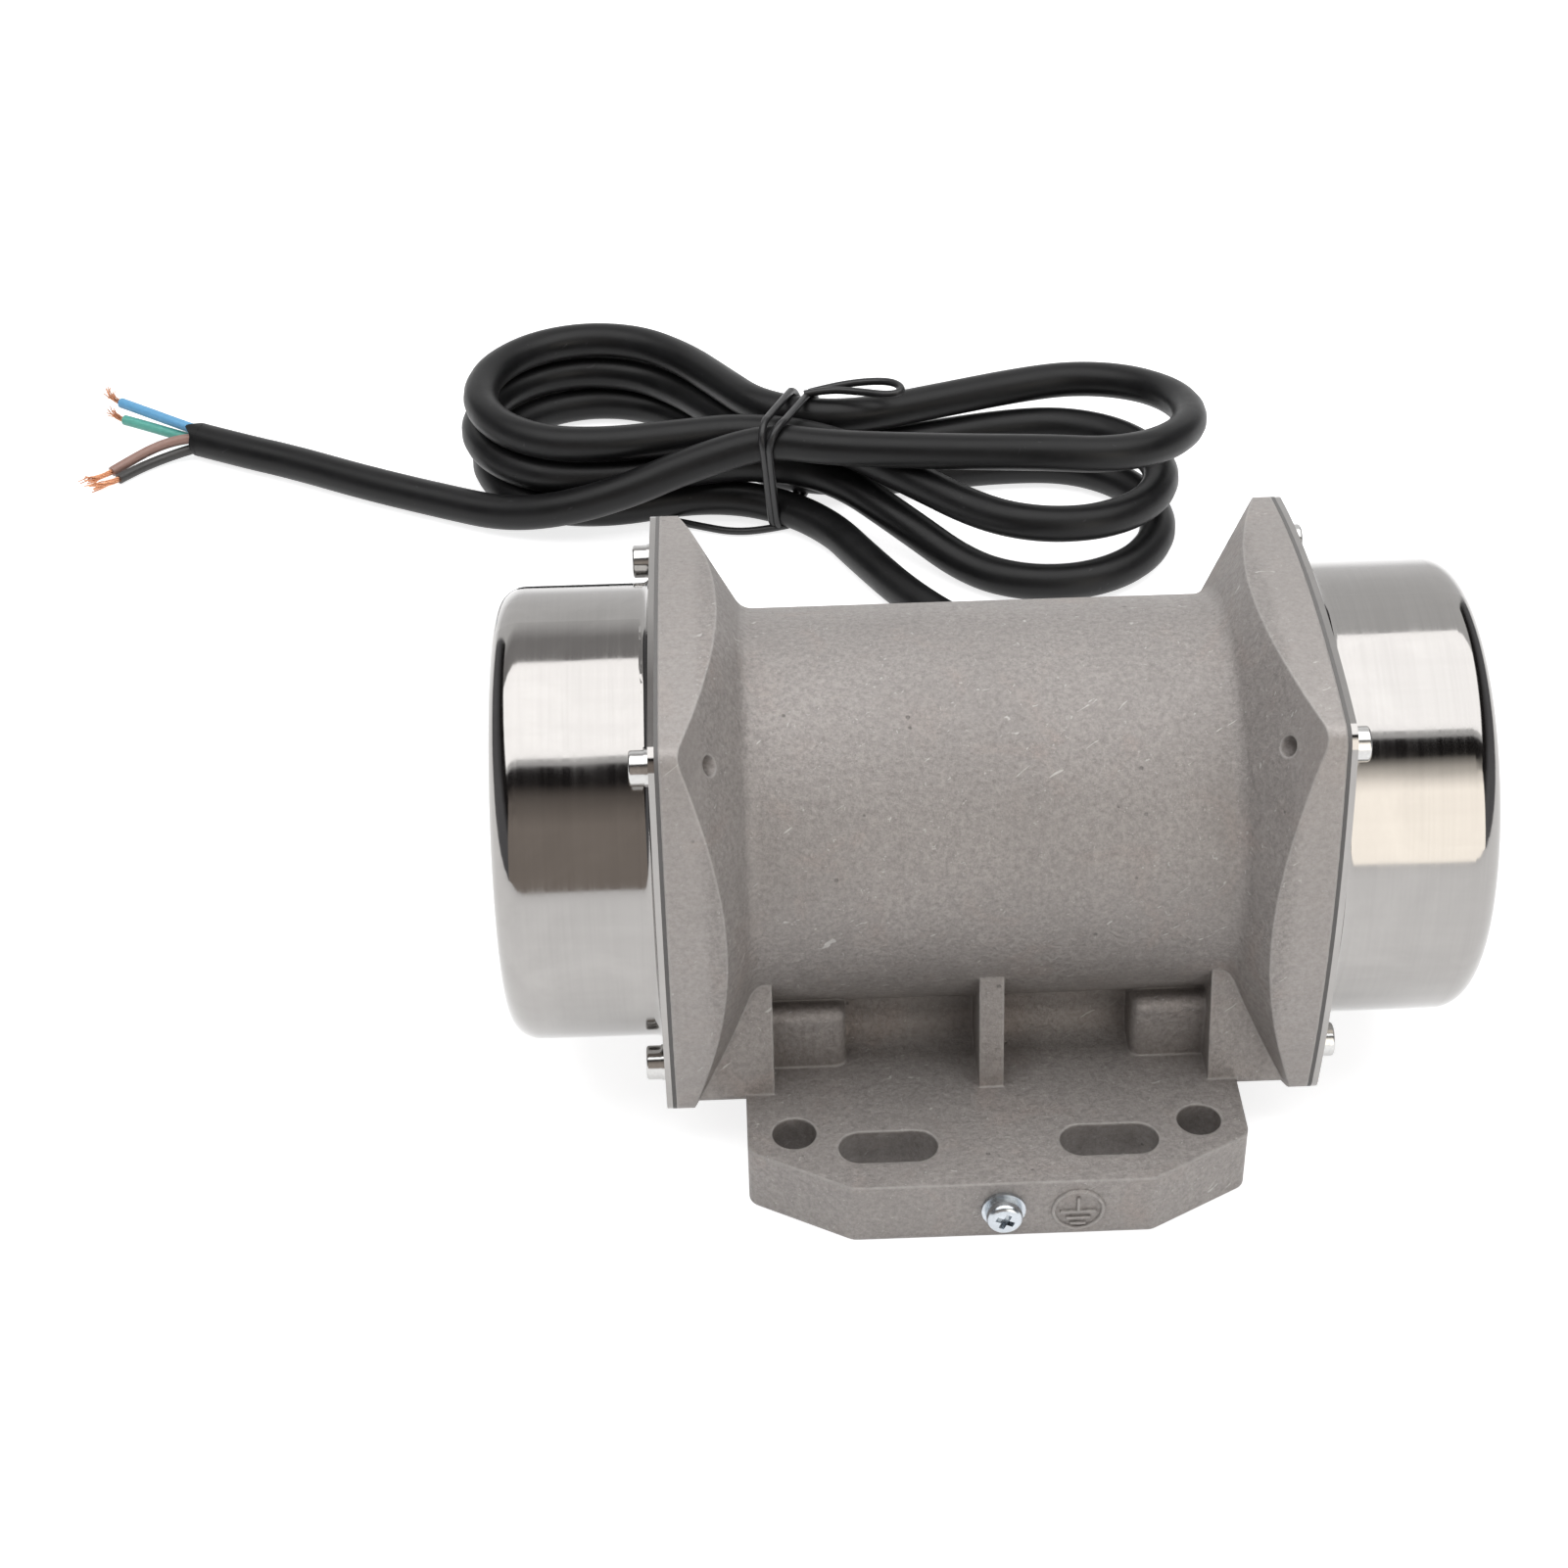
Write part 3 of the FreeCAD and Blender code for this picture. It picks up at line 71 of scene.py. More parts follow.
def mesh_object(name, mesh, smooth=True):
    bmesh.ops.recalc_face_normals(mesh, faces=mesh.faces)
    data = bpy.data.meshes.new(name)
    mesh.to_mesh(data)
    mesh.free()
    data.polygons.foreach_set("use_smooth", [smooth] * len(data.polygons))
    return collect(bpy.data.objects.new(name, data))


def join_rings(mesh, rows):
    """Faces between each ring of vertices and the next; a ring of one vertex is a tip."""
    count = max(len(row) for row in rows)
    for row, following in zip(rows, rows[1:]):
        for index in range(count):
            ahead = (index + 1) % count
            corners = [row[index % len(row)], row[ahead % len(row)],
                       following[ahead % len(following)], following[index % len(following)]]
            mesh.faces.new(list(dict.fromkeys(corners)))


# ---------------------------------------------------------------- camera

CAMERA_PLACE = Vector((-0.04876, -0.47836, 0.41170))
CAMERA_AZIMUTH = math.radians(0.99)
CAMERA_ELEVATION = math.radians(36.15)
CAMERA_ROLL = math.radians(1.34)
CAMERA_LENS = 65.56


def make_camera():
    data = bpy.data.cameras.new("camera")
    data.lens = CAMERA_LENS
    data.sensor_width = 36
    data.clip_start, data.clip_end = 0.01, 50
    forward = Vector((
        math.sin(CAMERA_AZIMUTH) * math.cos(CAMERA_ELEVATION),
        math.cos(CAMERA_AZIMUTH) * math.cos(CAMERA_ELEVATION),
        -math.sin(CAMERA_ELEVATION)))
    level = Vector((math.cos(CAMERA_AZIMUTH), -math.sin(CAMERA_AZIMUTH), 0))
    upright = level.cross(forward)
    right = level * math.cos(CAMERA_ROLL) - upright * math.sin(CAMERA_ROLL)
    up = level * math.sin(CAMERA_ROLL) + upright * math.cos(CAMERA_ROLL)
    turn = Matrix((right, up, -forward)).transposed()
    camera = collect(bpy.data.objects.new("camera", data))
    camera.matrix_world = Matrix.Translation(CAMERA_PLACE) @ turn.to_4x4()
    bpy.context.scene.camera = camera


make_camera()

# ---------------------------------------------------------------- materials


class Nodes:
    """A small helper that adds and links the nodes of one material or world."""

    def __init__(self, tree):
        self.tree = tree
        tree.nodes.clear()

    def add(self, kind, settings=(), **inputs):
        node = self.tree.nodes.new(kind)
        for name, value in dict(settings).items():
            setattr(node, name, value)
        for name, value in inputs.items():
            self.set(node, name.replace("_", " "), value)
        return node

    def set(self, node, socket, value):
        target = node.inputs[socket]
        if isinstance(value, bpy.types.NodeSocket):
            self.tree.links.new(value, target)
        else:
            target.default_value = value

    def noise(self, place, scale, detail=4.0, rough=0.55, distortion=0.0):
        return self.add("ShaderNodeTexNoise", Vector=place, Scale=scale, Detail=detail,
                        Roughness=rough, Distortion=distortion).outputs["Fac"]

    def spread(self, value, low, high, to_low=0.0, to_high=1.0):
        return self.add("ShaderNodeMapRange", Value=value, From_Min=low, From_Max=high, To_Min=to_low,
                        To_Max=to_high).outputs["Result"]

    def mix(self, share, first, second):
        node = self.add("ShaderNodeMix", {"data_type": "RGBA"})
        self.set(node, 0, share)
        self.set(node, 6, first)
        self.set(node, 7, second)
        return node.outputs[2]

    def math(self, operation, *values):
        node = self.add("ShaderNodeMath", {"operation": operation})
        for index, value in enumerate(values):
            self.set(node, index, value)
        return node.outputs[0]

    def bump(self, height, distance, strength=1.0, normal=None):
        node = self.add("ShaderNodeBump", Height=height, Distance=distance, Strength=strength)
        if normal is not None:
            self.set(node, "Normal", normal)
        return node.outputs["Normal"]


def new_material(name):
    material = bpy.data.materials.new(name)
    material.use_nodes = True
    nodes = Nodes(material.node_tree)
    place = nodes.add("ShaderNodeTexCoord").outputs["Object"]
    shader = nodes.add("ShaderNodeBsdfPrincipled")
    output = nodes.add("ShaderNodeOutputMaterial")
    nodes.set(output, "Surface", shader.outputs[0])
    return material, nodes, place, shader


def shade(colour, factor):
    return (*[channel * factor for channel in colour], 1)


def plain_material(name, colour, metallic, rough, rough_spread=0.05, grain=600.0, grain_height=0.00002,
                   mottle=60.0, tint=0.9):
    """A finish with large soft patches of tone, fine grain in relief and uneven gloss."""
    material, nodes, place, shader = new_material(name)
    patches = nodes.noise(place, mottle, 3.0)
    fine = nodes.noise(place, grain, 5.0, 0.6)
    tone = nodes.mix(nodes.spread(patches, 0.35, 0.65), shade(colour, tint), shade(colour, 1.0))
    speck = nodes.mix(nodes.spread(fine, 0.3, 0.75), shade(colour, tint * 0.93), tone)
    nodes.set(shader, "Base Color", speck)
    nodes.set(shader, "Roughness",
              nodes.spread(patches, 0.3, 0.7, max(0.02, rough - rough_spread), rough + rough_spread))
    nodes.set(shader, "Normal", nodes.bump(fine, grain_height))
    shader.inputs["Metallic"].default_value = metallic
    return material


def cast_aluminium(name):
    """Fine sand casting: grainy grey with warm patches, rounded edges painted lighter (partly wear,
    partly painted highlight), painted shade in the corners and hollows.
    """
    colour = (0.360, 0.335, 0.319)
    material, nodes, place, shader = new_material(name)
    patches = nodes.noise(place, 30.0, 4.0, 0.6)
    stains = nodes.noise(place, 75.0, 3.0, 0.55, 0.8)
    grain = nodes.noise(place, 950.0, 8.0, 0.78)
    coarse = nodes.noise(place, 430.0, 5.0, 0.65)
    nicks = nodes.noise(place, 1000.0, 2.0, 0.4, 1.6)
    slanted = nodes.add("ShaderNodeMapping", {"vector_type": "TEXTURE"}, Vector=place)
    slanted.inputs["Rotation"].default_value = (0.35, -0.55, 0.3)
    slanted.inputs["Scale"].default_value = (0.030, 0.0016, 0.0016)
    scratches = nodes.noise(slanted.outputs[0], 1.0, 2.0, 0.5, 1.1)
    pits = nodes.add("ShaderNodeTexVoronoi", Vector=place, Scale=120.0).outputs["Distance"]
    along = nodes.math("ABSOLUTE", nodes.add("ShaderNodeSeparateXYZ", Vector=place).outputs["X"])
    rim = nodes.spread(along, FLANGE_FACE - 9 * MM, FLANGE_FACE - 7 * MM)
    rounded = nodes.add("ShaderNodeBevel", {"samples": 5}, Radius=0.9 * MM).outputs["Normal"]
    plain = nodes.add("ShaderNodeNewGeometry").outputs["Normal"]
    meeting = nodes.add("ShaderNodeVectorMath", {"operation": "DOT_PRODUCT"})
    nodes.set(meeting, 0, rounded)
    nodes.set(meeting, 1, plain)
    edge = nodes.spread(meeting.outputs["Value"], 0.90, 0.995, 0.5, 0.0)
    # painted shade: ambient occlusion marks the corners, hollows and the parts under the barrel
    corner = nodes.add("ShaderNodeAmbientOcclusion", {"samples": 5, "only_local": True},
                       Distance=14 * MM).outputs["AO"]
    tone = nodes.mix(nodes.spread(patches, 0.35, 0.65), shade(colour, 0.93), shade(colour, 1.06))
    tone = nodes.mix(nodes.spread(stains, 0.55, 0.75, 0.0, 0.75), tone, (0.384, 0.330, 0.303, 1))
    tone = nodes.mix(nodes.spread(grain, 0.36, 0.60), nodes.mix(0.85, tone, shade(colour, 0.62)), tone)
    tone = nodes.mix(nodes.spread(coarse, 0.56, 0.72, 0.0, 0.36), tone, shade(colour, 1.36))
    tone = nodes.mix(nodes.spread(nicks, 0.715, 0.735, 0.0, 0.40), tone, (0.68, 0.67, 0.65, 1))
    tone = nodes.mix(nodes.spread(scratches, 0.72, 0.745, 0.0, 0.50), tone, (0.70, 0.69, 0.67, 1))
    dark = nodes.spread(pits, 0.035, 0.055, 0.55, 0.0)
    tone = nodes.mix(dark, tone, shade(colour, 0.40))
    tone = nodes.mix(nodes.math("MULTIPLY", rim, 0.35), tone, shade(colour, 1.08))
    # edges painted lighter: partly wear on the edges, partly painted highlight on the rounded edges,
    # inner corners included
    tone = nodes.mix(edge, tone, (0.60, 0.58, 0.56, 1))
    # painted shade: where the occlusion is high, the colour is darkened towards dark brown
    tone = nodes.mix(nodes.spread(corner, 0.10, 0.85, 0.48, 0.0), tone, (0.120, 0.098, 0.088, 1))
    nodes.set(shader, "Base Color", tone)
    nodes.set(shader, "Roughness", nodes.spread(coarse, 0.3, 0.7, 0.44, 0.58))
    height = nodes.math("ADD", nodes.math("MULTIPLY", grain, 0.7), coarse)
    height = nodes.math("SUBTRACT", height, nodes.math("MULTIPLY", dark, 1.2))
    machined = nodes.math("SUBTRACT", 1.0, nodes.math("MULTIPLY", rim, 0.6))
    height = nodes.math("MULTIPLY", height, machined)
    nodes.set(shader, "Normal", nodes.bump(height, 0.00045, 0.8, rounded))
    shader.inputs["Metallic"].default_value = 0.45
    return material


def polished_steel(name):
    """Drawn and polished sheet: hair lines round the shell and a faint unevenness of the drawing."""
    colour = (0.335, 0.324, 0.314)
    material, nodes, place, shader = new_material(name)
    waves = nodes.noise(place, 24.0, 2.0, 0.5)
    turned = nodes.add("ShaderNodeMapping", Vector=place)
    turned.inputs["Scale"].default_value = (700.0, 14.0, 14.0)
    hairs = nodes.noise(turned.outputs[0], 1.0, 6.0, 0.7)
    rolled = nodes.add("ShaderNodeMapping", Vector=place)
    rolled.inputs["Scale"].default_value = (22.0, 300.0, 300.0)
    streaks = nodes.noise(rolled.outputs[0], 1.0, 5.0, 0.6)
    clouds = nodes.noise(place, 48.0, 4.0, 0.6, 0.6)
    tone = nodes.mix(nodes.spread(hairs, 0.35, 0.65), shade(colour, 0.95), shade(colour, 1.02))
    tone = nodes.mix(nodes.spread(streaks, 0.35, 0.70, 0.0, 0.45), tone, shade(colour, 0.90))
    tone = nodes.mix(nodes.spread(clouds, 0.45, 0.75, 0.0, 0.6), tone, shade(colour, 1.14))
    nodes.set(shader, "Base Color", tone)
    gloss = nodes.math("ADD", nodes.spread(hairs, 0.3, 0.75, 0.055, 0.135),
                       nodes.spread(clouds, 0.45, 0.75, 0.0, 0.05))
    nodes.set(shader, "Roughness", gloss)
    soft = nodes.bump(waves, 0.0006, 0.5)
    nodes.set(shader, "Normal", nodes.bump(hairs, 0.000008, 0.6, soft))
    shader.inputs["Metallic"].default_value = 1.0
    return material


def rubber(name):
    """Extruded rubber jacket: matte black, faint dust and rubbed streaks."""
    colour = (0.0060, 0.0060, 0.0064)
    material, nodes, place, shader = new_material(name)
    dust = nodes.noise(place, 85.0, 5.0, 0.65)
    grain = nodes.noise(place, 1600.0, 4.0, 0.6)
    rubbed = nodes.noise(place, 190.0, 3.0, 0.5, 2.2)
    tone = nodes.mix(nodes.spread(dust, 0.42, 0.72), shade(colour, 0.85), shade(colour, 1.35))
    tone = nodes.mix(nodes.spread(rubbed, 0.70, 0.74, 0.0, 0.30), tone, (0.05, 0.05, 0.052, 1))
    nodes.set(shader, "Base Color", tone)
    nodes.set(shader, "Roughness", nodes.spread(dust, 0.3, 0.7, 0.34, 0.48))
    nodes.set(shader, "Normal", nodes.bump(grain, 0.00003, 0.6))
    shader.inputs["Specular IOR Level"].default_value = 0.27
    shader.inputs["Sheen Weight"].default_value = 0.01
    return material


def laminations(name):
    """Stacked sheet steel: thin lines across the shaft."""
    material, nodes, place, shader = new_material(name)
    lines = nodes.add("ShaderNodeTexWave", {"wave_type": "BANDS", "bands_direction": "X"},
                      Vector=place, Scale=320.0, Distortion=0.4).outputs["Fac"]
    tone = nodes.mix(lines, (0.16, 0.165, 0.17, 1), (0.34, 0.345, 0.35, 1))
    nodes.set(shader, "Base Color", tone)
    nodes.set(shader, "Roughness", nodes.spread(lines, 0.0, 1.0, 0.55, 0.38))
    nodes.set(shader, "Normal", nodes.bump(lines, 0.00012))
    shader.inputs["Metallic"].default_value = 0.85
    return material


def winding(name):
    """Enamelled copper wire laid round the stator."""
    material, nodes, place, shader = new_material(name)
    wires = nodes.add("ShaderNodeTexWave", {"wave_type": "RINGS", "rings_direction": "X"},
                      Vector=place, Scale=260.0, Distortion=3.0, Detail=2.0).outputs["Fac"]
    tone = nodes.mix(wires, (0.20, 0.05, 0.018, 1), (0.62, 0.25, 0.10, 1))
    nodes.set(shader, "Base Color", tone)
    nodes.set(shader, "Roughness", nodes.spread(wires, 0.0, 1.0, 0.45, 0.25))
    nodes.set(shader, "Normal", nodes.bump(wires, 0.0003))
    shader.inputs["Metallic"].default_value = 0.7
    shader.inputs["Coat Weight"].default_value = 0.3
    return material


FINISHES = {
    "cast_aluminium": cast_aluminium("sand_cast_aluminium"),
    "polished_cover": polished_steel("mirror_polished_steel"),
    "cord_rubber": rubber("rubber_jacket"),
    "lamination_steel": laminations("laminated_steel"),
    "copper_winding": winding("enamelled_copper"),
}

# for each slot: name, colour, metallic, roughness and its spread, grain and its height, mottle, tint
PLAIN_FINISHES = {
    "machined_aluminium": ("turned_aluminium", (0.60, 0.60, 0.59), 0.9, 0.34, 0.06, 900.0),
    "gasket_rubber": ("gasket_rubber", (0.15, 0.145, 0.14), 0.0, 0.62, 0.05, 800.0, 0.00005),
    "nickel_screw": (
        "nickelled_screw", (0.60, 0.595, 0.585), 1.0, 0.17, 0.04, 1400.0, 0.000006, 220.0, 0.88),
    "zinc_screw": (
        "blue_zinc_plate", (0.58, 0.62, 0.66), 1.0, 0.27, 0.06, 1100.0, 0.00001, 260.0, 0.84),
    "gland_nickel": ("nickelled_brass", (0.63, 0.60, 0.54), 1.0, 0.20, 0.05, 900.0, 0.000008),
    "bearing_steel": ("ground_steel", (0.62, 0.63, 0.64), 1.0, 0.14, 0.03, 1500.0, 0.000004),
    "cage_steel": ("pressed_steel", (0.46, 0.46, 0.46), 1.0, 0.32, 0.06, 900.0, 0.00001),
    "shaft_steel": ("turned_steel", (0.52, 0.52, 0.53), 1.0, 0.28, 0.06, 1000.0, 0.00001),
    "weight_steel": ("sawn_steel", (0.36, 0.355, 0.35), 0.95, 0.42, 0.08, 500.0, 0.00004),
    "wire_blue": ("blue_insulation", (0.145, 0.43, 0.72), 0.0, 0.38, 0.05, 900.0, 0.00001),
    "wire_green": ("green_insulation", (0.13, 0.49, 0.40), 0.0, 0.38, 0.05, 900.0, 0.00001),
    "wire_brown": ("brown_insulation", (0.36, 0.215, 0.175), 0.0, 0.40, 0.05, 900.0, 0.00001),
    "wire_black": ("black_insulation", (0.050, 0.048, 0.046), 0.0, 0.40, 0.05, 900.0, 0.00001),
    "bare_copper": ("bare_copper", (0.86, 0.43, 0.25), 0.9, 0.30, 0.06, 1400.0, 0.00001, 500.0, 0.80),
    "tie_plastic": ("tie_plastic", (0.016, 0.016, 0.017), 0.0, 0.36, 0.06, 700.0, 0.00004),
}
for slot, settings in PLAIN_FINISHES.items():
    FINISHES[slot] = plain_material(*settings)

for row in frame["record"]["subparts"]:
    node = frame["nodes"][row["node"]]
    node.data.materials.clear()
    node.data.materials.append(FINISHES[row["material_slot"]])


def finished(piece, slot):
    piece.data.materials.append(FINISHES[slot])
    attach(piece, "motor")
    return piece


# ---------------------------------------------------------------- power cord

CORD_RADIUS = 4.9 * MM
WIRE_RADIUS = 1.5 * MM
# height of the cord's middle where it lies on the floor, in millimetres
FLOOR = 4.95
GLAND_EXIT_Y = 56.0
LEAD_ROUTE = millimetres([
    (32, GLAND_EXIT_Y, 38), (32, 80, 38), (30, 103, 29), (22, 124, 14), (10, 141, 6.2),
    (-3, 159.5, FLOOR), (-15, 182, FLOOR)])
TAIL_ROUTE = millimetres([
    (-61, 203.5, 22.5), (-78, 201.5, 16), (-96, 202.8, 10), (-113, 208.8, 5.6),
    (-131, 218.5, FLOOR), (-152, 229.3, FLOOR), (-175, 243, FLOOR), (-189.5, 250.2, FLOOR),
    (-203.4, 257.9, FLOOR)])

# The hank lies along its own x, with the motor on its near side (y below zero). All in millimetres.
HANK_PLACE = Vector((-0.031, 0.219, 0))
HANK_TURN = Matrix.Rotation(math.radians(-19), 3, "Z")
FOLD_RADIUS = 32.0
FOLD_STEPS = 8
TIE_HALF = 12.0
LEAD_TO_TIE = [(17, -19.5, 5), (3.5, -12.3, 5.4), (-12, -10.5, 6), (-28, -14.5, 6)]
NEAR_AT_TIE = [None, (-6.0, 15), (-5.2, 24.8)]
FAR_AT_TIE = [(4.9, 6.5), (4.9, 16.2), (4.9, 26)]
TAIL_AT_TIE = [(14, -16.5, 29), (-3, -15.5, 28.5)]
# centre x, centre y, height of the near strand, height of the far strand
LEFT_FOLDS = [(-61, 3, 5.2, 5.2), (-63.5, 3, 15, 15), (-62.5, 4, 25, 25)]
RIGHT_FOLDS = [(71, 0, 5.2, 5.2), (70, 6, 20, 15), (75, 15, 37, 25)]


def from_hank(point):
    return HANK_PLACE + HANK_TURN @ (Vector(point) * MM)


def fold(enter, leave, centre, z_enter, z_leave, turn_way):
    """Points of one fold: straight in from one place, round the centre, straight out to the other."""
    def touching(place, way):
        dx, dy = place[0] - centre[0], place[1] - centre[1]
        return math.atan2(dy, dx) + way * math.acos(FOLD_RADIUS / math.hypot(dx, dy))
    first, last = touching(enter, turn_way), touching(leave, -turn_way)
    sweep = turn_way * ((turn_way * (last - first)) % (2 * math.pi))
    points = []
    for step in range(FOLD_STEPS + 1):
        share = step / FOLD_STEPS
        angle = first + sweep * share
        ease = share * share * (3 - 2 * share)
        points.append(Vector((
            centre[0] + FOLD_RADIUS * math.cos(angle), centre[1] + FOLD_RADIUS * math.sin(angle),
            z_enter + (z_leave - z_enter) * ease)))
    inward = Vector(enter).lerp(points[0], 0.55)
    inward.z = (enter[2] + z_enter) / 2
    outward = points[-1].lerp(Vector(leave), 0.45)
    outward.z = (leave[2] + z_leave) / 2
    return [inward] + points + [outward]


def hank_route():
    points = list(LEAD_TO_TIE)
    for turn, (left, right) in enumerate(zip(LEFT_FOLDS, RIGHT_FOLDS)):
        last = turn == len(LEFT_FOLDS) - 1
        far_left, far_right = (-TIE_HALF, *FAR_AT_TIE[turn]), (TIE_HALF, *FAR_AT_TIE[turn])
        if turn:
            enter = (-TIE_HALF, *NEAR_AT_TIE[turn])
            points.append(enter)
            points += fold(enter, far_left, left[:2], left[2], left[3], -1)
        else:
            points += fold(points[-1], far_left, left[:2], left[2], left[3], -1)[1:]
        leave = TAIL_AT_TIE[0] if last else (TIE_HALF, *NEAR_AT_TIE[turn + 1])
        points += [far_left, far_right]
        points += fold(far_right, leave, right[:2], right[3], right[2], -1)
        points.append(leave)
    points.append(TAIL_AT_TIE[1])
    return [from_hank(point) for point in points]


def curve_piece(name, routes, radius, rings=5):
    """Round wires along NURBS routes, all in one curve object."""
    curve = bpy.data.curves.new(name, "CURVE")
    curve.dimensions = "3D"
    curve.bevel_depth = radius
    curve.bevel_resolution = rings
    curve.resolution_u = 10
    curve.use_fill_caps = True
    for route in routes:
        spline = curve.splines.new("NURBS")
        spline.points.add(len(route) - 1)
        for target, point in zip(spline.points, route):
            target.co = (*point, 1)
        spline.order_u = 3
        spline.use_endpoint_u = True
    return collect(bpy.data.objects.new(name, curve))


cord_route = LEAD_ROUTE + hank_route() + TAIL_ROUTE
cord = finished(curve_piece("power_cord", [cord_route], CORD_RADIUS, 6), "cord_rubber")
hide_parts("power_cord_lead", "power_cord_hank", "power_cord_tail")


def centre_line(piece):
    """The points that a curve object follows, from a copy with no thickness."""
    data = piece.data.copy()
    data.bevel_depth = 0
    copy = bpy.data.objects.new("line", data)
    mesh = bpy.data.meshes.new_from_object(copy)
    points = [vertex.co.copy() for vertex in mesh.vertices]
    bpy.data.objects.remove(copy)
    bpy.data.meshes.remove(mesh)
    return points


def skin(name, rings):
    """A smooth closed mesh through rings of points, capped at both ends."""
    mesh = bmesh.new()
    rows = [[mesh.verts.new(point) for point in ring] for ring in rings]
    join_rings(mesh, rows)
    mesh.faces.new(list(reversed(rows[0])))
    mesh.faces.new(rows[-1])
    return mesh_object(name, mesh)


def across(direction):
    """Two directions square to the given one, the first of them level."""
    side = direction.cross(Vector((0, 0, 1))).normalized()
    return side, side.cross(direction).normalized()


# ---- rubber sleeve where the cord leaves its gland: ribbed and tapered

SLEEVE_LENGTH = 30 * MM
SLEEVE_WALL = 1.9 * MM
SLEEVE_TAPER = 1.5 * MM
SLEEVE_RIBS = 5
SLEEVE_POINTS = 32
RIB_HEIGHT = 0.35 * MM


def ring_points(centre, direction, radius):
    side, up = across(direction)
    points = []
    for index in range(SLEEVE_POINTS):
        angle = 2 * math.pi * index / SLEEVE_POINTS
        points.append(centre + (side * math.cos(angle) + up * math.sin(angle)) * radius)
    return points


def make_sleeve():
    """It starts inside the gland nut and follows the cord's own line."""
    line = centre_line(cord)
    start = GLAND_END - 1 * MM
    rings = []
    travelled = 0.0
    previous = None
    for before, point in zip(line, line[1:]):
        if point.y < start or travelled > SLEEVE_LENGTH:
            continue
        travelled += (point - previous).length if previous else 0
        previous = point
        share = min(travelled / SLEEVE_LENGTH, 1)
        rib = RIB_HEIGHT * max(0.0, math.sin(share * SLEEVE_RIBS * 2 * math.pi))
        radius = CORD_RADIUS + SLEEVE_WALL - SLEEVE_TAPER * share + rib
        rings.append(ring_points(point, (point - before).normalized(), radius))
    return finished(skin("cord_sleeve", rings), "cord_rubber")


sleeve = make_sleeve()

# ---- stripped end: torn lip of the jacket, four cores and their bare strands

WIRE_ROUTES = {
    "blue": millimetres([
        (-202.6, 259.3, 6.5), (-211.5, 264.2, 7.5), (-220.5, 269.8, 8.2), (-229, 276, 8.2)]),
    "green": millimetres([
        (-202.6, 259.3, 3.4), (-211.4, 263.1, 4.0), (-220.2, 267.6, 4.6), (-228, 272.4, 4.4)]),
    "brown": millimetres([
        (-204.2, 256.5, 6.5), (-210.6, 256.7, 5.7), (-217, 254.4, 4.6), (-222.8, 250, 3.4),
        (-227.9, 245.4, 2.4)]),
    "black": millimetres([
        (-204.2, 256.5, 3.4), (-210.4, 255, 2.3), (-216.3, 251.6, 1.8), (-221.3, 247.2, 1.7),
        (-225.6, 242.6, 1.5)]),
}
LIP_LENGTH = 1.6 * MM
LIP_BACK = 0.6 * MM
LIP_WALL = 0.9 * MM
LIP_POINTS = 48
TORN_ANGLE = 1.9
BUNDLE_RADIUS = 0.95 * MM
STRANDS_PER_CORE = 16
STRAND_RADIUS = 0.16 * MM
STRAND_LENGTH = 9.5 * MM
STRAND_STEPS = 5
STRAND_CURL = 0.3
STRAND_TWIST = 2.2
GOLDEN_ANGLE = 2.399963


def make_lip():
    """The cut end of the jacket stands a little past the cores' bed, uneven, with a torn corner."""
    end = TAIL_ROUTE[-1]
    onward = (TAIL_ROUTE[-1] - TAIL_ROUTE[-2]).normalized()
    side, up = across(onward)
    random.seed(5)
    wide_phase, narrow_phase = [random.uniform(0, 6.28) for _ in range(2)]

    def rim(angle):
        jag = 0.35 * math.sin(2 * angle + wide_phase) + 0.22 * math.sin(5 * angle + narrow_phase)
        torn = 1.5 * math.exp(-((angle - TORN_ANGLE) / 0.35) ** 2)
        return (0.6 + jag * 0.5 + torn) * LIP_LENGTH

    mesh = bmesh.new()
    rows = []
    # radius, and how much of the rim's reach the ring takes: none for the two rings behind the cut
    for radius, reach in ((CORD_RADIUS, None), (CORD_RADIUS, 1.0), (CORD_RADIUS - LIP_WALL, 0.96),
                          (CORD_RADIUS - LIP_WALL - 0.1 * MM, None)):
        row = []
        for index in range(LIP_POINTS):
            angle = 2 * math.pi * index / LIP_POINTS
            outward = side * math.cos(angle) + up * math.sin(angle)
            forward = -LIP_BACK if reach is None else reach * rim(angle)
            row.append(mesh.verts.new(end + outward * radius + onward * forward))
        rows.append(row)
    join_rings(mesh, rows + rows[:1])
    return finished(mesh_object("jacket_lip", mesh, False), "cord_rubber")


def make_cores():
    made = []
    for colour, route in WIRE_ROUTES.items():
        inside = route[0] - (route[1] - route[0]).normalized() * 2 * MM
        core = curve_piece(f"insulation_{colour}", [[inside] + route], WIRE_RADIUS, 5)
        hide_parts(f"core_{colour}")
        made.append(finished(core, f"wire_{colour}"))
    return made


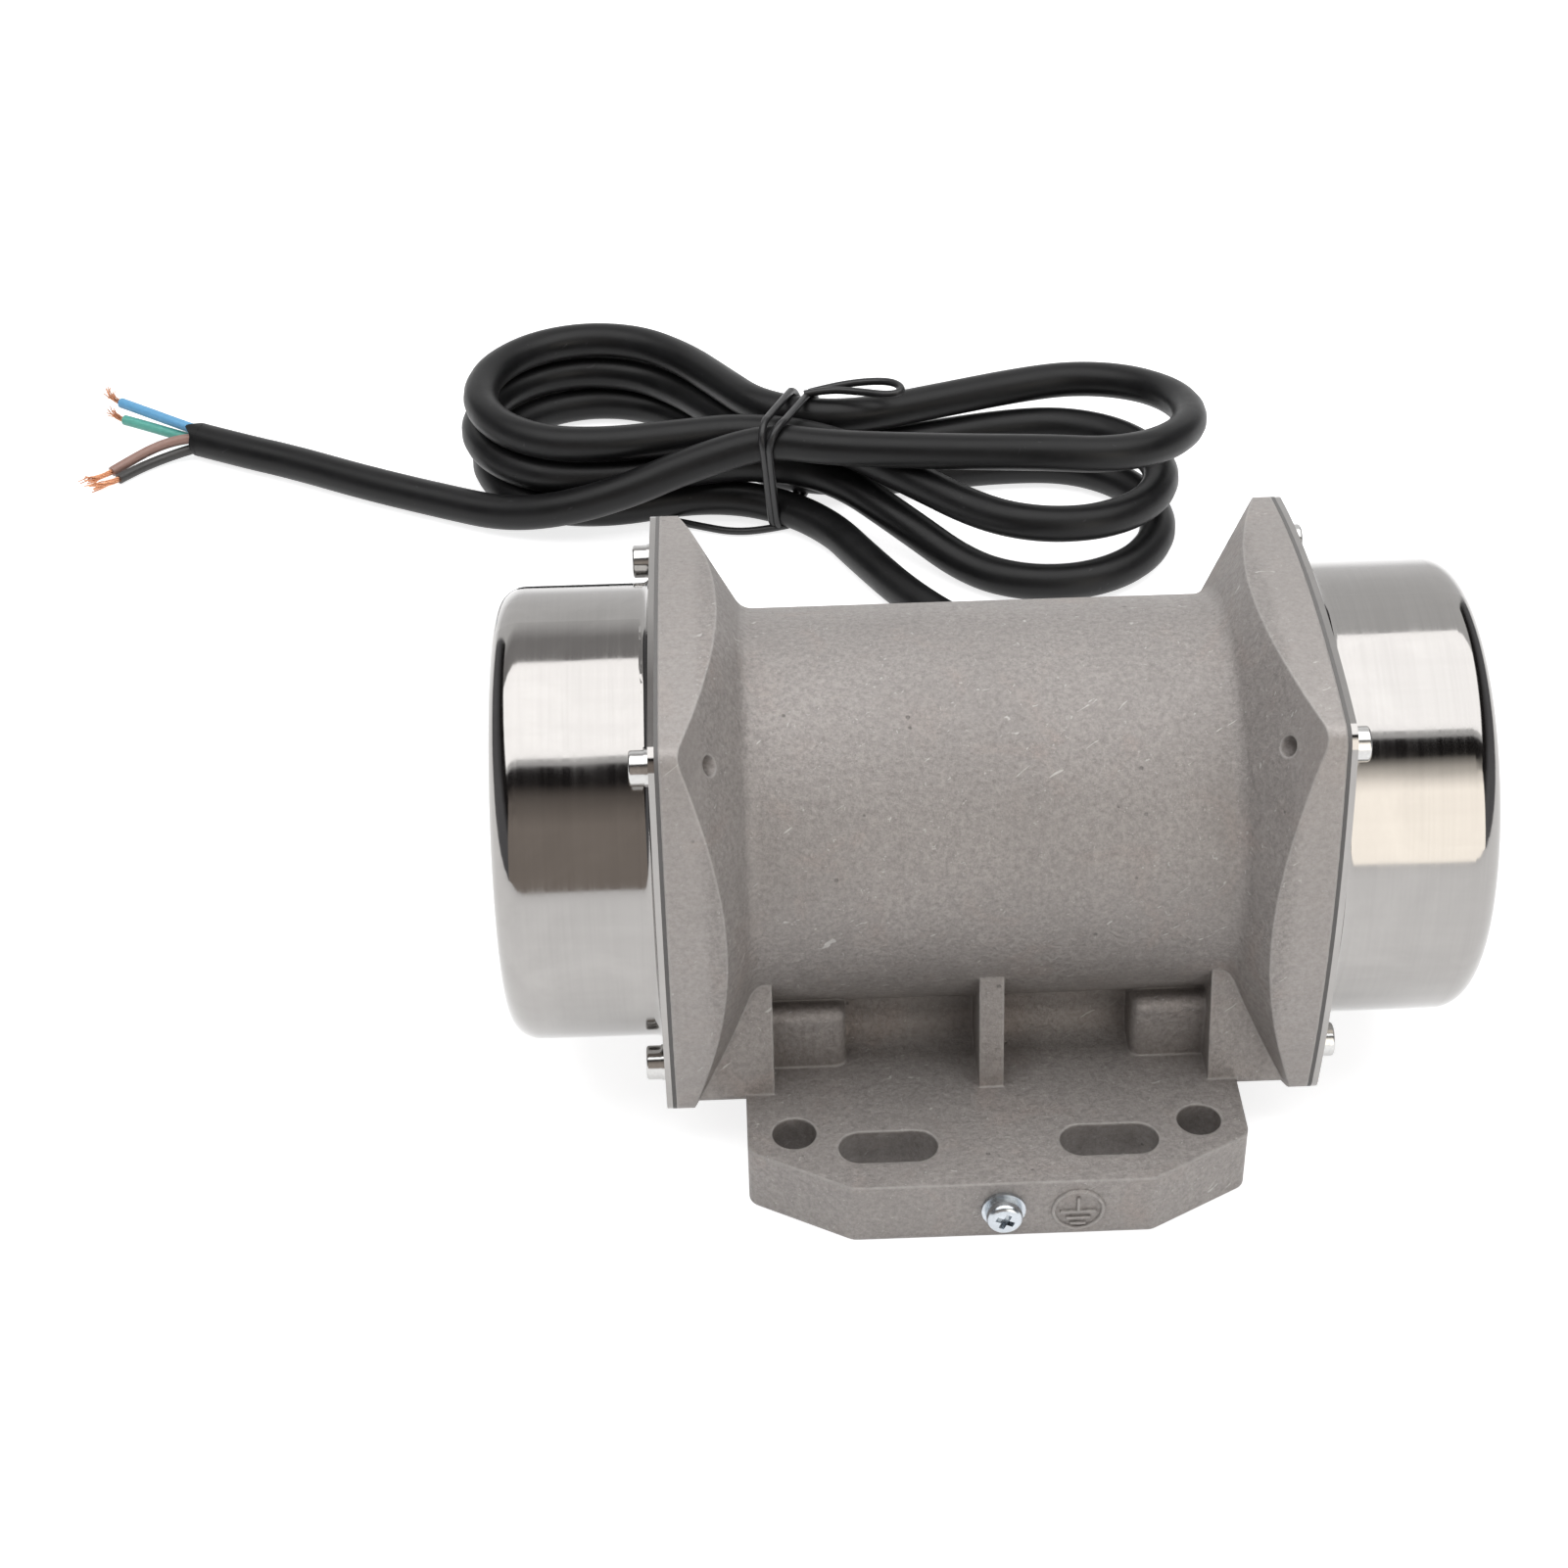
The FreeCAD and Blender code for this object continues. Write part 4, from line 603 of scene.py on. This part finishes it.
def make_strands():
    """Fine copper wires that leave each core in a loose, slightly splayed bundle."""
    random.seed(11)
    routes = []
    for route in WIRE_ROUTES.values():
        end = route[-1]
        onward = (route[-1] - route[-2]).normalized()
        side, up = across(onward)
        drift = Vector((onward.y, -onward.x, 0)) * STRAND_CURL
        for strand in range(STRANDS_PER_CORE):
            angle = strand * GOLDEN_ANGLE
            reach = BUNDLE_RADIUS * math.sqrt((strand + 0.5) / STRANDS_PER_CORE)
            offset = side * math.cos(angle) * reach + up * math.sin(angle) * reach
            length = STRAND_LENGTH * random.uniform(0.72, 1.05)
            points = []
            for step in range(STRAND_STEPS + 1):
                share = step / STRAND_STEPS
                twist = Matrix.Rotation(share * STRAND_TWIST, 3, onward) @ offset
                splay = twist * (0.85 - 0.45 * share + 1.5 * share ** 3)
                stray = Vector([random.uniform(-1, 1) for _ in range(3)]) * 0.45 * MM * share ** 2
                point = end - onward * 0.8 * MM + onward * length * share + drift * length * share ** 2
                points.append(point + splay + stray)
            for point in points:
                point.z = max(point.z, STRAND_RADIUS + 0.1 * MM)
            routes.append(points)
    strands = curve_piece("copper_strands", routes, STRAND_RADIUS, 2)
    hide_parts("core_strands")
    return finished(strands, "bare_copper")


# ---- wire tie: two wraps round the strands, a twisted loop behind and a loose end in front

TIE_RADIUS = 1.05 * MM
# across the hank and height of each strand where the tie holds it, in millimetres
STRANDS_AT_TIE = [
    (-11, 5.4), (-6.0, 15), (-5.2, 24.8), (-15.9, 28.8), (4.9, 6.5), (4.9, 16.2), (4.9, 26)]
WRAP_POINTS = 40
WRAP_GAP = 3.4
WRAP_START = math.radians(75)


def wrap_point(angle, along):
    """A place on the tight band round the strands, in the direction of the given angle."""
    towards = Vector((math.cos(angle), math.sin(angle)))
    strand = max(STRANDS_AT_TIE, key=lambda place: towards.dot(place))
    across_hank, height = Vector(strand) + towards * (CORD_RADIUS + TIE_RADIUS) / MM
    return from_hank((along, across_hank, max(height, TIE_RADIUS / MM + 0.05)))


def make_tie():
    wraps = []
    for turn in range(2):
        points = []
        for step in range(WRAP_POINTS + 1):
            share = step / WRAP_POINTS
            angle = 2 * math.pi * share + WRAP_START
            lean = 1.7 * math.sin(angle + turn * 1.3) * (1 if turn else -0.6)
            along = -2.6 + turn * WRAP_GAP + lean
            points.append(wrap_point(angle, along))
        wraps.append(points)
    loop = [from_hank(point) for point in (
        (2, 6, 32.5), (8, 9.5, 33.5), (17, 12, 35), (25, 11, 36.5), (29, 7, 36.5), (26, 4, 36),
        (16, 6.5, 34.5), (7, 7, 33.6), (1, 4.5, 32.6))]
    loose = [from_hank(point) for point in (
        (1.5, -14, 1.3), (-4, -18.2, 1.3), (-12, -21.5, 1.2), (-22, -21, 1.2), (-36, -19.5, 1.2))]
    tie = curve_piece("wire_tie", wraps + [loop, loose], TIE_RADIUS, 4)
    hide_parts("cord_tie")
    return finished(tie, "tie_plastic")


lip = make_lip()
cores = make_cores()
strands = make_strands()
tie = make_tie()

# ---------------------------------------------------------------- earth screw and earth sign

SCREW_X, SCREW_Z = (SCREW_LOW.x + SCREW_HIGH.x) / 2, (SCREW_LOW.z + SCREW_HIGH.z) / 2
HEAD_CROWN = 1.2 * MM
SHANK_RADIUS = 2.0 * MM
SCREW_POINTS = 40
RECESS_TURN = 25
# half length, half width and y of the recess at its mouth, in front of the head, and at its floor
RECESS_MOUTH = (2.15 * MM, 0.62 * MM, -0.6 * MM)
RECESS_FLOOR = (1.3 * MM, 0.55 * MM, 1.5 * MM)


def apply_modifiers(obj):
    depsgraph = bpy.context.evaluated_depsgraph_get()
    data = bpy.data.meshes.new_from_object(obj.evaluated_get(depsgraph))
    obj.modifiers.clear()
    obj.data = data


def recess_cutter(front, turn):
    """One arm of the cross: a bar that narrows into the head."""
    mesh = bmesh.new()
    bmesh.ops.create_cube(mesh, size=1)
    for vertex in mesh.verts:
        half_long, half_wide, depth = RECESS_FLOOR if vertex.co.y > 0 else RECESS_MOUTH
        vertex.co = Vector((
            math.copysign(half_long, vertex.co.x), depth, math.copysign(half_wide, vertex.co.z)))
    cutter = mesh_object("cutter", mesh, False)
    cutter.matrix_world = (Matrix.Translation((SCREW_X, front, SCREW_Z))
                           @ Matrix.Rotation(math.radians(RECESS_TURN + 90 * turn), 4, "Y"))
    return cutter


def make_earth_screw():
    """Pan head with a cross recess, turned from the screw's own box."""
    front, head_back = SCREW_LOW.y, WASHER_FRONT
    outer = (SCREW_HIGH.x - SCREW_LOW.x) / 2
    profile = [(front, 0.0), (front, outer - HEAD_CROWN * 1.15)]
    for step in range(1, 7):
        angle = math.pi / 2 * step / 6
        profile.append((front + HEAD_CROWN * (1 - math.cos(angle)),
                        outer - HEAD_CROWN + HEAD_CROWN * math.sin(angle)))
    profile += [(head_back, outer), (head_back, SHANK_RADIUS), (SCREW_HIGH.y, SHANK_RADIUS),
                (SCREW_HIGH.y, 0.0)]
    mesh = bmesh.new()
    rows = []
    for y, radius in profile:
        row = []
        for k in range(SCREW_POINTS if radius else 1):
            angle = 2 * math.pi * k / SCREW_POINTS
            row.append(mesh.verts.new((
                SCREW_X + radius * math.cos(angle), y, SCREW_Z + radius * math.sin(angle))))
        rows.append(row)
    join_rings(mesh, rows)
    head = mesh_object("cross_head_screw", mesh)
    for turn in range(2):
        cutter = recess_cutter(front, turn)
        cut = head.modifiers.new("cross", "BOOLEAN")
        cut.operation = "DIFFERENCE"
        cut.solver = "EXACT"
        cut.object = cutter
        bpy.context.view_layer.update()
        apply_modifiers(head)
        bpy.data.objects.remove(cutter)
    head.data.materials.clear()
    head.data.polygons.foreach_set("material_index", [0] * len(head.data.polygons))
    split = head.modifiers.new("edges", "EDGE_SPLIT")
    split.split_angle = math.radians(40)
    apply_modifiers(head)
    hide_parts("earth_screw")
    return finished(head, "zinc_screw")


def rounded_bar(mesh, x_from, x_to, z_from, z_to, y_face, height, edge):
    """A raised bar with sloping sides on a face that looks towards -Y."""
    outer = [(x_from, z_from), (x_to, z_from), (x_to, z_to), (x_from, z_to)]
    inner = [(x_from + edge, z_from + edge), (x_to - edge, z_from + edge),
             (x_to - edge, z_to - edge), (x_from + edge, z_to - edge)]
    base = [mesh.verts.new((x, y_face + 0.3 * MM, z)) for x, z in outer]
    top = [mesh.verts.new((x, y_face - height, z)) for x, z in inner]
    mesh.faces.new(top)
    mesh.faces.new(list(reversed(base)))
    for k in range(4):
        ahead = (k + 1) % 4
        mesh.faces.new((base[k], base[ahead], top[ahead], top[k]))


EARTH_X = 14.95 * MM
EARTH_Z = 6.4 * MM
EARTH_RING = 4.95 * MM
EARTH_LINE = 0.45 * MM
EARTH_HEIGHT = 0.55 * MM
RING_POINTS, SECTION_POINTS = 72, 10
STEM_TOP = 3.5 * MM
# width and height over the sign's middle of its three bars
EARTH_BARS = [(7.5 * MM, -0.4 * MM), (5.1 * MM, -2.05 * MM), (3.5 * MM, -3.57 * MM)]


def make_earth_sign():
    """The protective earth sign, cast proud of the foot's front edge."""
    mesh = bmesh.new()
    rows = []
    for k in range(RING_POINTS):
        angle = 2 * math.pi * k / RING_POINTS
        outward = Vector((math.cos(angle), 0, math.sin(angle)))
        row = []
        for j in range(SECTION_POINTS):
            bend = 2 * math.pi * j / SECTION_POINTS
            reach = EARTH_RING + EARTH_LINE * math.cos(bend)
            middle = Vector((EARTH_X, FOOT_FRONT - EARTH_HEIGHT * math.sin(bend), EARTH_Z))
            row.append(mesh.verts.new(middle + outward * reach))
        rows.append(row)
    join_rings(mesh, rows + rows[:1])
    half = EARTH_LINE * 0.95
    bars = [(-half, half, EARTH_BARS[0][1], STEM_TOP)]
    for width, level in EARTH_BARS:
        bars.append((-width / 2, width / 2, level - half, level + half))
    for x_from, x_to, z_from, z_to in bars:
        rounded_bar(mesh, EARTH_X + x_from, EARTH_X + x_to, EARTH_Z + z_from, EARTH_Z + z_to,
                    FOOT_FRONT, EARTH_HEIGHT * 0.9, EARTH_LINE * 0.45)
    return finished(mesh_object("earth_sign", mesh, False), "cast_aluminium")


make_earth_screw()
make_earth_sign()

# ---------------------------------------------------------------- floor, cards, softbox and world

FLOOR_GREY = 0.65
FLOOR_GLOW = 0.78
ROOM_LIGHT = (0.37, 0.37, 0.38, 1)
SOFTBOX_PLACE = Vector((0, -0.02, 1.05))
SOFTBOX_SIZE = (2.2, 1.0)
SOFTBOX_WATTS = 15.8


def white_for_mirrors(nodes):
    """1 for the camera's rays and for those that metal and glass send on, 0 for soft light."""
    rays = nodes.add("ShaderNodeLightPath").outputs
    glossy = nodes.math("MAXIMUM", rays["Is Camera Ray"], rays["Is Glossy Ray"])
    return nodes.math("MAXIMUM", glossy, rays["Is Transmission Ray"])


def show_whiter(nodes, output_kind, plain, white):
    """The output takes the white shader where it is seen, the plain one where it lights the object."""
    choice = nodes.add("ShaderNodeMixShader")
    nodes.set(choice, 0, white_for_mirrors(nodes))
    nodes.set(choice, 1, plain.outputs[0])
    nodes.set(choice, 2, white.outputs[0])
    nodes.set(nodes.add(output_kind), "Surface", choice.outputs[0])


def make_sheet(name, material_name, size):
    """A flat square and the empty node tree of its own material."""
    mesh = bmesh.new()
    bmesh.ops.create_grid(mesh, x_segments=1, y_segments=1, size=size)
    sheet = mesh_object(name, mesh, False)
    material = bpy.data.materials.new(material_name)
    material.use_nodes = True
    sheet.data.materials.append(material)
    return sheet, Nodes(material.node_tree)


def make_floor():
    floor, nodes = make_sheet("floor", "white_sweep", 6)
    floor.location.z = -0.3 * MM
    diffuse = nodes.add("ShaderNodeBsdfDiffuse", Color=(FLOOR_GREY, FLOOR_GREY, FLOOR_GREY, 1))
    glow = nodes.add("ShaderNodeEmission", Color=(1, 1, 1, 1), Strength=FLOOR_GLOW)
    both = nodes.add("ShaderNodeAddShader")
    nodes.set(both, 0, diffuse.outputs[0])
    nodes.set(both, 1, glow.outputs[0])
    show_whiter(nodes, "ShaderNodeOutputMaterial", diffuse, both)


def make_card(name, centre, turn, size, low, high):
    """A studio card, out of the picture and only seen in reflections, from one tone up to another."""
    card, nodes = make_sheet(name, name, 0.5)
    card.scale = (*size, 1)
    card.location = centre
    card.rotation_euler = turn
    card.visible_camera = False
    card.visible_diffuse = False
    card.visible_shadow = False
    place = nodes.add("ShaderNodeTexCoord").outputs["Object"]
    up = nodes.add("ShaderNodeSeparateXYZ", Vector=place).outputs["Y"]
    uneven = nodes.spread(nodes.noise(place, 3.0, 2.0), 0.3, 0.7, -0.05, 0.05)
    share = nodes.spread(nodes.math("ADD", up, uneven), -0.12, 0.22)
    glow = nodes.add("ShaderNodeEmission", Color=nodes.mix(share, (*low, 1), (*high, 1)), Strength=1.0)
    nodes.set(nodes.add("ShaderNodeOutputMaterial"), "Surface", glow.outputs[0])


def make_softbox():
    data = bpy.data.lights.new("softbox", "AREA")
    data.shape = "RECTANGLE"
    data.size, data.size_y = SOFTBOX_SIZE
    data.energy = SOFTBOX_WATTS
    softbox = collect(bpy.data.objects.new("softbox", data))
    softbox.location = SOFTBOX_PLACE


def make_world():
    world = bpy.data.worlds.new("studio")
    bpy.context.scene.world = world
    world.use_nodes = True
    nodes = Nodes(world.node_tree)
    room = nodes.add("ShaderNodeBackground", Color=ROOM_LIGHT, Strength=1.0)
    white = nodes.add("ShaderNodeBackground", Color=(1, 1, 1, 1), Strength=1.0)
    show_whiter(nodes, "ShaderNodeOutputWorld", room, white)


UPRIGHT = (math.radians(90), 0, 0)
SIDEWAYS = (math.radians(90), 0, math.radians(90))
LEVEL = (0, 0, 0)
DARK, BROWN, CREAM = (0.022, 0.020, 0.020), (0.44, 0.385, 0.345), (2.75, 2.6, 2.37)
GREY, DIM, PALE = (0.20, 0.20, 0.21), (0.46, 0.45, 0.45), (1.0, 1.0, 1.0)

make_floor()
make_card("front_card", (-1.3, -1.0, 0.86), UPRIGHT, (3.0, 1.7), BROWN, DARK)
make_card("cream_card", (1.7, -1.0, 0.86), UPRIGHT, (3.0, 1.7), CREAM, DARK)
make_card("back_card", (-1.65, 1.35, 1.25), LEVEL, (3.2, 1.6), DIM, PALE)
make_card("softbox_back", SOFTBOX_PLACE + Vector((0, 0, 0.02)), LEVEL, SOFTBOX_SIZE, DIM, DIM)
make_card("left_card", (-1.1, 0.1, 0.50), SIDEWAYS, (2.4, 1.0), GREY, DARK)
make_card("right_card", (1.1, 0.1, 0.50), SIDEWAYS, (2.4, 1.0), GREY, DARK)
make_softbox()
make_world()
bpy.context.scene.view_settings.view_transform = "Standard"
